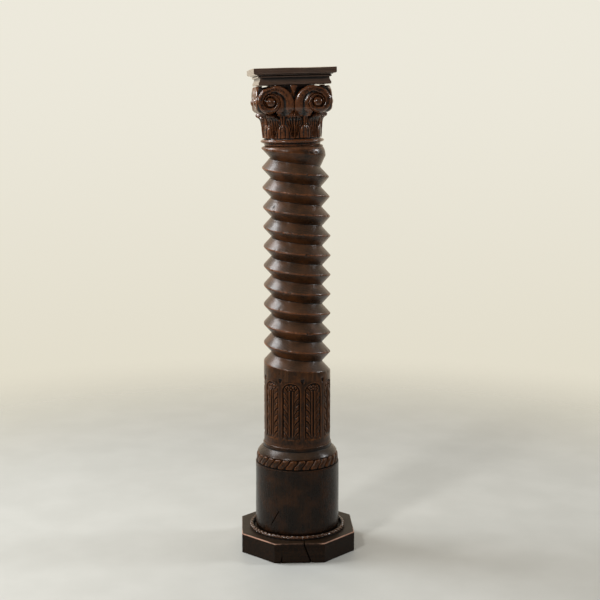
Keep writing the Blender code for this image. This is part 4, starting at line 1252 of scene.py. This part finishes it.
def make_volutes(material):
    """Four faces, each with a pair of volutes, their eyes and the stems between them."""
    turns, sheet, floor = volute_half()
    rows, columns = sheet.shape[:2]
    points = [sheet.reshape(-1, 3)]
    faces = grid_faces(rows, columns)
    ring = turns[-121:-1]
    rings = [(floor, -VOLUTE_GROOVE), (EYE_R * 1.01, -VOLUTE_GROOVE - 0.0008)]
    for a in np.linspace(0, 1.45, 9):
        sunk = VOLUTE_GROOVE * (1 - math.sin(a))
        rings.append((EYE_R * math.cos(a), EYE_PROUD * math.sin(a) - sunk))
    start = rows * columns
    for radius, lift in rings:
        u = EYE_OUT + radius * np.sin(ring)
        w = EYE_AT + radius * np.cos(ring)
        points.append(np.column_stack((u, w, np.full_like(u, FACE_AT + lift))))
    faces += grid_faces(len(rings), len(ring), closed=True, start=start)
    start += len(rings) * len(ring)
    faces.append(tuple(range(start - len(ring), start)))

    # Walls from the free edge back to the mitre with the next face, or into the core
    free = [i for i, t in enumerate(turns) if t < VOLUTE_START + TAU]
    front = sheet[free, 0]
    front = np.concatenate((front, sheet[0, ::-1][:-1]))
    back = front.copy()
    back[:, 2] = np.maximum(0.070, np.minimum(front[:, 0], front[:, 2] - 0.0005))
    middle = (front + back) / 2
    centre = np.array((EYE_OUT, EYE_AT))
    pull = (0.16 * (front[:, 2] - back[:, 2]))[:, None]
    inward = centre - middle[:, :2]
    middle[:, :2] += inward / np.linalg.norm(inward, axis=1)[:, None] * pull * 0.5
    points += [front, middle, back]
    faces += grid_faces(3, len(front), closed=True, start=start)
    half = np.concatenate(points)
    mirrored = half * np.array((-1, 1, 1))
    both = np.concatenate((half, mirrored))
    faces += [tuple(len(half) + i for i in face[::-1]) for face in faces]
    u, w, h = both.T
    face_points = np.column_stack((u, -h, w))
    sizes = {"count": FACE_COUNT, "hand_cut": 0.0011, "cut_size": 0.018, "seed": 4.0}
    return repeated("capital_volutes", face_points, faces, material, **sizes)


def make_darts(material):
    """The small darts that hang under the abacus between the volutes."""
    points = []
    for w, half, h in DART_STATIONS:
        side = 0.003 - h
        points += [(-half, -DART_BACK, w), (-half, side, w), (0.0, -h, w)]
        points += [(half, side, w), (half, -DART_BACK, w)]
    faces = grid_faces(len(DART_STATIONS), 5, closed=True)
    sizes = {"count": FACE_COUNT, "hand_cut": 0.0006, "cut_size": 0.01, "seed": 1.0}
    return repeated("capital_darts", points, faces, material, **sizes)


def make_capital(material):
    """All the capital's carving, set in its leaning frame."""
    leafy = [make_bell(material), make_leaves(material), make_small_leaves(material), make_stalks(material)]
    leafwork = join_pieces("capital_leafwork", leafy, material)
    scrolls = join_pieces("capital_scrolls", [make_volutes(material), make_darts(material)], material)
    points = point_array(leafwork.data)
    z = points[:, 2]
    # Painted shade on the bell between the leaves and on the leaves' low edges, in the cuts between them.
    proud = np.hypot(points[:, 0], points[:, 1]) - bell_radius(z)
    painted_shade = np.clip(1.3 - proud / 0.0020, 0, 1) * (z > BELL_FOOT_AT - 0.001) * (z < 0.115)
    for piece in (leafwork, scrolls):
        piece.data.transform(capital_frame())
        finish_piece(piece, "capital", reach=0.0011, sharp=65)
    darken(leafwork.data, painted_shade)
    return leafwork, scrolls


# Abacus

def abacus_section():
    """The moulding's section, as distance from the axis and height, foot to top."""
    under = ABACUS_THICK - ABACUS_FASCIA
    foot = ABACUS_FOOT_HALF
    hollow = ABACUS_HALF - ABACUS_HOLLOW
    bead = ABACUS_HALF - ABACUS_BEAD
    step = ABACUS_HALF - ABACUS_STEP
    rim = foot - 0.0010
    section = [(foot - 0.0012, 0.0), (foot, 0.0010), (foot, 0.0070), (rim, 0.0080)]
    for share in np.linspace(0.1, 1, 7):
        section.append((rim - (rim - hollow) * math.sin(share * math.pi / 2), 0.008 + 0.011 * share))
    section += [(hollow, 0.0205)]
    proud = bead - hollow
    for share in np.linspace(0, 1, 9):
        turn = math.pi * (share - 0.5)
        reach = proud * (0.3 + 0.7 * math.cos(turn))
        section.append((hollow + reach, 0.0245 + 0.0034 * math.sin(turn)))
    section += [(step - 0.0004, 0.0285), (step, 0.0292)]
    out = ABACUS_HALF - 0.0006 - step
    for share in np.linspace(0.12, 1, 7):
        turn = share * math.pi / 2
        section.append((step + out * math.sin(turn), under - 0.0035 * math.cos(turn)))
    for z in (under + 0.0012, under + 0.006, ABACUS_THICK - 0.0045):
        section.append((ABACUS_HALF, z))
    edge = ABACUS_EDGE
    for a in np.linspace(0, math.pi / 2, 5):
        section.append((ABACUS_HALF - edge * (1 - math.cos(a)), ABACUS_THICK - edge * (1 - math.sin(a))))
    section += [(ABACUS_HALF - inset, ABACUS_THICK) for inset in (0.006, 0.014, 0.030, 0.055, 0.085)]
    return section


def make_abacus(material):
    """Square moulded board on top of the capital, its edges softened by wear."""
    shares = (0.0, 0.008, 0.02, *np.linspace(0.05, 0.95, 34), 0.98, 0.992)
    rows = []
    for half, z in abacus_section():
        corners = half * np.array(((1, -1), (1, 1), (-1, 1), (-1, -1), (1, -1)))
        flat = [a + (b - a) * share for a, b in zip(corners, corners[1:]) for share in shares]
        rows.append(np.column_stack((np.array(flat), np.full(len(flat), z))))
    board = tidy(ringed_object("abacus_board", rows, material))
    points = point_array(board.data)
    lip = np.clip((points[:, 2] - 0.030) / 0.016, 0, 1)
    sag = np.array([noise.noise(Vector((p[0] * 11, p[1] * 11, 3.0))) for p in points])
    outer = np.clip((np.abs(points[:, :2]).max(axis=1) - 0.095) / 0.025, 0, 1)
    points[:, 2] -= np.clip(sag + 0.35, 0, 1) * 0.0022 * lip * outer
    set_points(board.data, points)
    board.data.transform(abacus_frame())
    finish_piece(board, "abacus", reach=0.0009, sharp=40)
    return board


# Materials

def grain_group():
    """Oak whose fibres run along Z: growth rings, fine fibres and open pores."""
    inputs = [
        ("Vector", "Vector", None),
        ("Ring Width", "Float", 0.005),
        ("Pith X", "Float", 0.02),
        ("Fibre Scale", "Float", 300.0),
    ]
    outputs = [("Tone", "Float"), ("Pores", "Float")]
    tree, source, target = new_tree("Oak Grain", "ShaderNodeTree", inputs, outputs)
    long_way = add_node(tree, "ShaderNodeVectorMath", {"operation": "MULTIPLY"})
    tree.links.new(source.outputs["Vector"], long_way.inputs[0])
    long_way.inputs[1].default_value = (1.0, 1.0, 0.045)
    drift = noise_at(tree, long_way.outputs[0], Scale=16.0, Detail=2.0)
    parts = add_node(tree, "ShaderNodeSeparateXYZ", Vector=source.outputs["Vector"])
    x = Value(tree, parts.outputs["X"]) - Value(tree, source.outputs["Pith X"])
    y = Value(tree, parts.outputs["Y"])
    away = (x * x + y * y).step("SQRT") + (drift - 0.5) * 0.030
    ring = (away / Value(tree, source.outputs["Ring Width"])).step("FRACT")
    late = ring.smooth(0.55, 0.95) * (1.0 - ring.smooth(0.96, 1.0))
    fibre_scale = source.outputs["Fibre Scale"]
    fibre = noise_at(tree, long_way.outputs[0], Scale=fibre_scale, Detail=3.0, Roughness=0.65)
    patch = noise_at(tree, source.outputs["Vector"], Scale=9.0, Detail=3.0)
    tone = fibre * 0.55 + late * 0.22 + patch * 0.30
    dash = noise_at(tree, long_way.outputs[0], Scale=820.0, Detail=1.0)
    pores = dash.smooth(0.58, 0.70) * (1.0 - late * 0.8)
    feed(tree, tone.clamped(), target.inputs["Tone"])
    feed(tree, pores, target.inputs["Pores"])
    return tree


def mix_colour(tree, factor, first, second):
    """A colour mixed from two by a factor."""
    node = add_node(tree, "ShaderNodeMix", {"data_type": "RGBA"})
    feed(tree, factor, node.inputs[0])
    feed(tree, first, node.inputs[6])
    feed(tree, second, node.inputs[7])
    return node.outputs[2]


def patina_group():
    """Old stained and waxed surface: worn ridges, dirt and painted shade in the hollows, and a grey dust
    bloom with painted sheen on what faces up.
    """
    inputs = [
        ("Vector", "Vector", None),
        ("Tone", "Float", 0.5),
        ("Pores", "Float", 0.0),
        ("Ridge", "Float", 0.0),
        ("Hollow", "Float", 0.0),
        ("Facing Up", "Float", 0.0),
        ("Dark Wood", "Color", (0.02, 0.01, 0.006, 1)),
        ("Light Wood", "Color", (0.09, 0.05, 0.03, 1)),
        ("Red Wood", "Color", (0.12, 0.04, 0.02, 1)),
        ("Worn Wood", "Color", (0.25, 0.12, 0.07, 1)),
        ("Dirt And Shade", "Color", (0.006, 0.004, 0.003, 1)),
        ("Bloom", "Color", (0.12, 0.10, 0.09, 1)),
        ("Redness", "Float", 0.3),
        ("Mottle", "Float", 0.2),
        ("Wear", "Float", 0.7),
        ("Darkening Amount", "Float", 0.9),
        ("Bloom Amount", "Float", 0.3),
        ("Smoothness", "Float", 0.3),
    ]
    outputs = [("Colour", "Color"), ("Roughness", "Float"), ("Height", "Float")]
    tree, source, target = new_tree("Old Patina", "ShaderNodeTree", inputs, outputs)
    got = {label: Value(tree, source.outputs[label]) for label, kind, _ in inputs if kind == "Float"}
    given = source.outputs
    blotch = noise_at(tree, given["Vector"], Scale=22.0, Detail=4.0)
    speck = noise_at(tree, given["Vector"], Scale=170.0, Detail=3.0)
    colour = mix_colour(tree, got["Tone"].smooth(0.25, 0.80), given["Dark Wood"], given["Light Wood"])
    patchy = blotch + (speck - blotch) * got["Mottle"]
    red = patchy.smooth(0.42, 0.64) * got["Redness"]
    colour = mix_colour(tree, red, colour, given["Red Wood"])
    # Lighter, greyer colour on what faces up: dust bloom, and painted sheen of the light from above.
    bloom = got["Facing Up"].smooth(0.25, 0.85) * (blotch * 0.9 + 0.35) * got["Bloom Amount"]
    colour = mix_colour(tree, bloom.clamped(), colour, given["Bloom"])
    worn = (got["Ridge"] * (speck + blotch * 0.6 + 0.1)).smooth(0.15, 0.85) * got["Wear"]
    colour = mix_colour(tree, worn.clamped(), colour, given["Worn Wood"])
    # Dark in the hollows and wherever the hollow attribute was raised: real dirt, and painted shade in cuts,
    # cracks, holes and where parts meet.
    dirt_and_shade = (got["Hollow"] * (speck * 0.5 + 0.85)).smooth(0.10, 0.75) * got["Darkening Amount"]
    dirt_and_shade = (dirt_and_shade + got["Pores"] * 0.45).clamped()
    colour = mix_colour(tree, dirt_and_shade, colour, given["Dirt And Shade"])
    rough = got["Smoothness"] + speck * 0.12 + blotch * 0.10 - 0.11 + dirt_and_shade * 0.30 + bloom * 0.10
    height = got["Tone"] * 0.35 - got["Pores"] * 0.45 + speck * 0.30
    feed(tree, colour, target.inputs["Colour"])
    feed(tree, rough.clamped(0.08, 0.9), target.inputs["Roughness"])
    feed(tree, height, target.inputs["Height"])
    return tree


def oak_material(name, looks, grain_turn=(0.0, 0.0, 0.0)):
    """One dark oak finish: shared grain and patina with this piece's own values."""
    material = bpy.data.materials.new(name)
    material.use_nodes = True
    tree = material.node_tree
    shader = tree.nodes["Principled BSDF"]
    place = add_node(tree, "ShaderNodeTexCoord")
    turned = add_node(tree, "ShaderNodeMapping", Vector=place.outputs["Object"])
    turned.inputs["Rotation"].default_value = grain_turn
    grain = add_node(tree, "ShaderNodeGroup", {"node_tree": GRAIN}, Vector=turned.outputs[0])
    grain.inputs["Ring Width"].default_value = looks["ring_width"]
    grain.inputs["Pith X"].default_value = looks["pith"]
    ridge = add_node(tree, "ShaderNodeAttribute", {"attribute_name": "ridge"})
    hollow = add_node(tree, "ShaderNodeAttribute", {"attribute_name": "hollow"})
    normal = add_node(tree, "ShaderNodeNewGeometry").outputs["Normal"]
    facing = add_node(tree, "ShaderNodeSeparateXYZ", Vector=normal)
    patina = add_node(
        tree,
        "ShaderNodeGroup",
        {"node_tree": PATINA},
        Vector=place.outputs["Object"],
        Tone=grain.outputs["Tone"],
        Pores=grain.outputs["Pores"],
        Ridge=ridge.outputs["Fac"],
        Hollow=hollow.outputs["Fac"],
        Facing_Up=facing.outputs["Z"],
    )
    for label, value in looks["patina"].items():
        patina.inputs[label].default_value = value
    bump = add_node(tree, "ShaderNodeBump", Height=patina.outputs["Height"])
    bump.inputs["Strength"].default_value = looks["bump"]
    bump.inputs["Distance"].default_value = 0.0006
    feed(tree, patina.outputs["Colour"], shader.inputs["Base Color"])
    feed(tree, patina.outputs["Roughness"], shader.inputs["Roughness"])
    feed(tree, bump.outputs[0], shader.inputs["Normal"])
    shader.inputs["Specular IOR Level"].default_value = looks["specular"]
    shader.inputs["Coat Weight"].default_value = looks["coat"]
    shader.inputs["Coat Roughness"].default_value = 0.18
    return material


def colour(red, green, blue):
    """An opaque colour."""
    return (red, green, blue, 1.0)


def oak_looks(**changes):
    """Values of the trunk's finish, with this piece's changes."""
    looks = {"ring_width": 0.0052, "pith": 0.018, "bump": 0.5, "specular": 0.28, "coat": 0.12}
    patina = {
        "Dark Wood": colour(0.0165, 0.0068, 0.0026),
        "Light Wood": colour(0.082, 0.0340, 0.0122),
        "Red Wood": colour(0.155, 0.0500, 0.0110),
        "Worn Wood": colour(0.30, 0.105, 0.040),
        # The darkest colour serves for dirt and for painted shade in the hollows.
        "Dirt And Shade": colour(0.0022, 0.0014, 0.0010),
        # The grey below serves for dust bloom and for painted sheen on what faces up.
        "Bloom": colour(0.100, 0.066, 0.044),
        "Redness": 0.50,
        "Mottle": 0.2,
        "Wear": 0.85,
        "Darkening Amount": 0.95,
        "Bloom Amount": 0.5,
        "Smoothness": 0.30,
    }
    for key, value in changes.items():
        label = key.replace("_", " ").title()
        if key in looks:
            looks[key] = value
        else:
            patina[label] = value
    looks["patina"] = patina
    return looks


# Stage, light and camera

def make_stage():
    """A plain pale floor that fades into the pale surroundings."""
    section = [(radius, 0.0) for radius in (3.2, 2.0, 1.0, 0.4)]
    floor = ringed_object("floor", turned_rows(section, FLOOR_SIDES))
    tidy_floor = bmesh.new()
    tidy_floor.from_mesh(floor.data)
    rims = [edge for edge in tidy_floor.edges if edge.is_boundary and edge.calc_length() < 0.1]
    bmesh.ops.holes_fill(tidy_floor, edges=rims, sides=0)
    bmesh.ops.recalc_face_normals(tidy_floor, faces=tidy_floor.faces)
    tidy_floor.to_mesh(floor.data)
    tidy_floor.free()
    material = bpy.data.materials.new("pale_floor")
    material.use_nodes = True
    tree = material.node_tree
    shader = tree.nodes["Principled BSDF"]
    place = add_node(tree, "ShaderNodeTexCoord").outputs["Object"]
    mottle = noise_at(tree, place, Scale=5.0, Detail=5.0)
    pale = mix_colour(tree, mottle.smooth(0.30, 0.75), colour(*FLOOR_DARK), colour(*FLOOR_LIGHT))
    feed(tree, pale, shader.inputs["Base Color"])
    shader.inputs["Roughness"].default_value = 0.55
    parts = add_node(tree, "ShaderNodeSeparateXYZ", Vector=place)
    x = Value(tree, parts.outputs["X"])
    y = Value(tree, parts.outputs["Y"])
    away = (x * x + y * y).step("SQRT")
    feed(tree, 1.0 - away.smooth(1.1, 3.0), shader.inputs["Alpha"])
    floor.data.materials.append(material)


def make_world():
    """Cream surroundings to the eye, whose light comes mostly from the pale wall behind the column."""
    world = bpy.data.worlds.new("pale_room")
    world.use_nodes = True
    tree = world.node_tree
    lit = tree.nodes["Background"]
    way = add_node(tree, "ShaderNodeTexCoord").outputs["Generated"]
    parts = add_node(tree, "ShaderNodeSeparateXYZ", Vector=way)
    behind = Value(tree, parts.outputs["Y"]).smooth(0.15, 0.75)
    above = Value(tree, parts.outputs["Z"]).smooth(-0.35, 0.10)
    feed(tree, mix_colour(tree, behind, colour(*FRONT_GLOW), colour(*WALL_GLOW)), lit.inputs["Color"])
    seen = add_node(tree, "ShaderNodeBackground")
    feed(tree, mix_colour(tree, above, colour(*SEEN_LOW), colour(*SEEN_HIGH)), seen.inputs["Color"])
    looked_at = add_node(tree, "ShaderNodeLightPath").outputs["Is Camera Ray"]
    mixed = add_node(tree, "ShaderNodeMixShader")
    for slot, source in zip(mixed.inputs, (looked_at, lit.outputs[0], seen.outputs[0])):
        tree.links.new(source, slot)
    tree.links.new(mixed.outputs[0], tree.nodes["World Output"].inputs["Surface"])
    bpy.context.scene.world = world
    bpy.context.scene.view_settings.view_transform = "Standard"


def make_light(name, place, target, size, watts, tint):
    """A soft square light aimed at a point."""
    data = bpy.data.lights.new(name, "AREA")
    data.shape = "RECTANGLE"
    data.size, data.size_y = size
    data.energy = watts
    data.color = tint
    light = bpy.data.objects.new(name, data)
    light.location = place
    light.rotation_euler = (Vector(target) - Vector(place)).to_track_quat("-Z", "Y").to_euler()
    bpy.context.scene.collection.objects.link(light)


def make_camera():
    """The camera where the photographer stood."""
    data = bpy.data.cameras.new("camera")
    data.lens = CAMERA_LENS
    data.sensor_width = 36.0
    camera = bpy.data.objects.new("camera", data)
    camera.location = CAMERA_AT
    camera.rotation_euler = (math.pi / 2 - CAMERA_PITCH, 0.0, CAMERA_YAW)
    bpy.context.scene.collection.objects.link(camera)
    bpy.context.scene.camera = camera


make_camera()
make_stage()
make_world()
make_light("left_window", (-2.0, 0.66, 2.9), (0, 0, 0.8), (1.1, 1.1), 70, (0.95, 0.98, 1.0))
make_light("right_window", (2.7, 0.15, 2.1), (0, 0, 0.6), (0.5, 0.5), 34, (0.96, 0.98, 1.0))
make_light("front_lamp", (-1.5, -2.0, 2.6), (0, 0, 0.6), (0.3, 0.3), 36, (1.0, 0.98, 0.95))
make_light("side_lamp", (-2.5, -0.35, 1.9), (0, 0, 0.5), (0.5, 0.5), 16, (1.0, 0.98, 0.95))

GRAIN = grain_group()
PATINA = patina_group()
REPEAT = repeat_tree()

ACROSS = (0.0, math.pi / 2, 0.0)
trunk_oak = oak_material("trunk_oak", oak_looks())
panel_looks = oak_looks(
    redness=0.60,
    mottle=0.45,
    bloom_amount=0.10,
    wear=0.60,
    specular=0.20,
    coat=0.05,
    dark_wood=colour(0.0130, 0.0066, 0.0034),
    light_wood=colour(0.042, 0.0205, 0.0100),
    red_wood=colour(0.125, 0.0410, 0.0110),
    worn_wood=colour(0.190, 0.0680, 0.0210),
)
panel_oak = oak_material("panel_oak", panel_looks)
drum_looks = oak_looks(
    redness=0.15,
    wear=0.08,
    smoothness=0.22,
    pith=0.01,
    specular=0.19,
    coat=0.0,
    dark_wood=colour(0.0072, 0.0033, 0.0013),
    light_wood=colour(0.017, 0.0078, 0.0032),
)
drum_oak = oak_material("drum_oak", drum_looks)
ring_looks = oak_looks(
    redness=0.35,
    mottle=0.6,
    smoothness=0.18,
    wear=0.10,
    specular=0.42,
    coat=0.10,
    light_wood=colour(0.023, 0.0100, 0.0046),
)
ring_oak = oak_material("ring_oak", ring_looks, ACROSS)
plinth_looks = oak_looks(
    redness=0.08,
    mottle=0.8,
    smoothness=0.36,
    wear=0.9,
    specular=0.10,
    coat=0.0,
    # Lighter brown on the plinth's top: dust bloom and painted sheen.
    bloom=colour(0.026, 0.0150, 0.0075),
    bloom_amount=0.6,
    dark_wood=colour(0.0080, 0.0046, 0.0028),
    light_wood=colour(0.018, 0.0105, 0.0060),
    worn_wood=colour(0.56, 0.32, 0.23),
)
plinth_oak = oak_material("plinth_oak", plinth_looks, ACROSS)
capital_looks = oak_looks(
    redness=0.9,
    mottle=0.85,
    smoothness=0.17,
    wear=0.32,
    bloom_amount=0.06,
    specular=0.42,
    coat=0.30,
    dark_wood=colour(0.0070, 0.0030, 0.0016),
    light_wood=colour(0.032, 0.0130, 0.0060),
    red_wood=colour(0.105, 0.0330, 0.0085),
)
capital_oak = oak_material("capital_oak", capital_looks)
abacus_looks = oak_looks(
    redness=0.10,
    smoothness=0.17,
    wear=0.05,
    specular=0.42,
    coat=0.35,
    dark_wood=colour(0.058, 0.0370, 0.0280),
    light_wood=colour(0.120, 0.0780, 0.0580),
)
abacus_oak = oak_material("abacus_oak", abacus_looks, ACROSS)

make_plinth(plinth_oak)
make_foot_ring(ring_oak)
make_lower_drum(drum_oak)
make_rope(panel_oak)
make_panel_drum(panel_oak)
make_screw(trunk_oak)
make_capital(capital_oak)
make_abacus(abacus_oak)
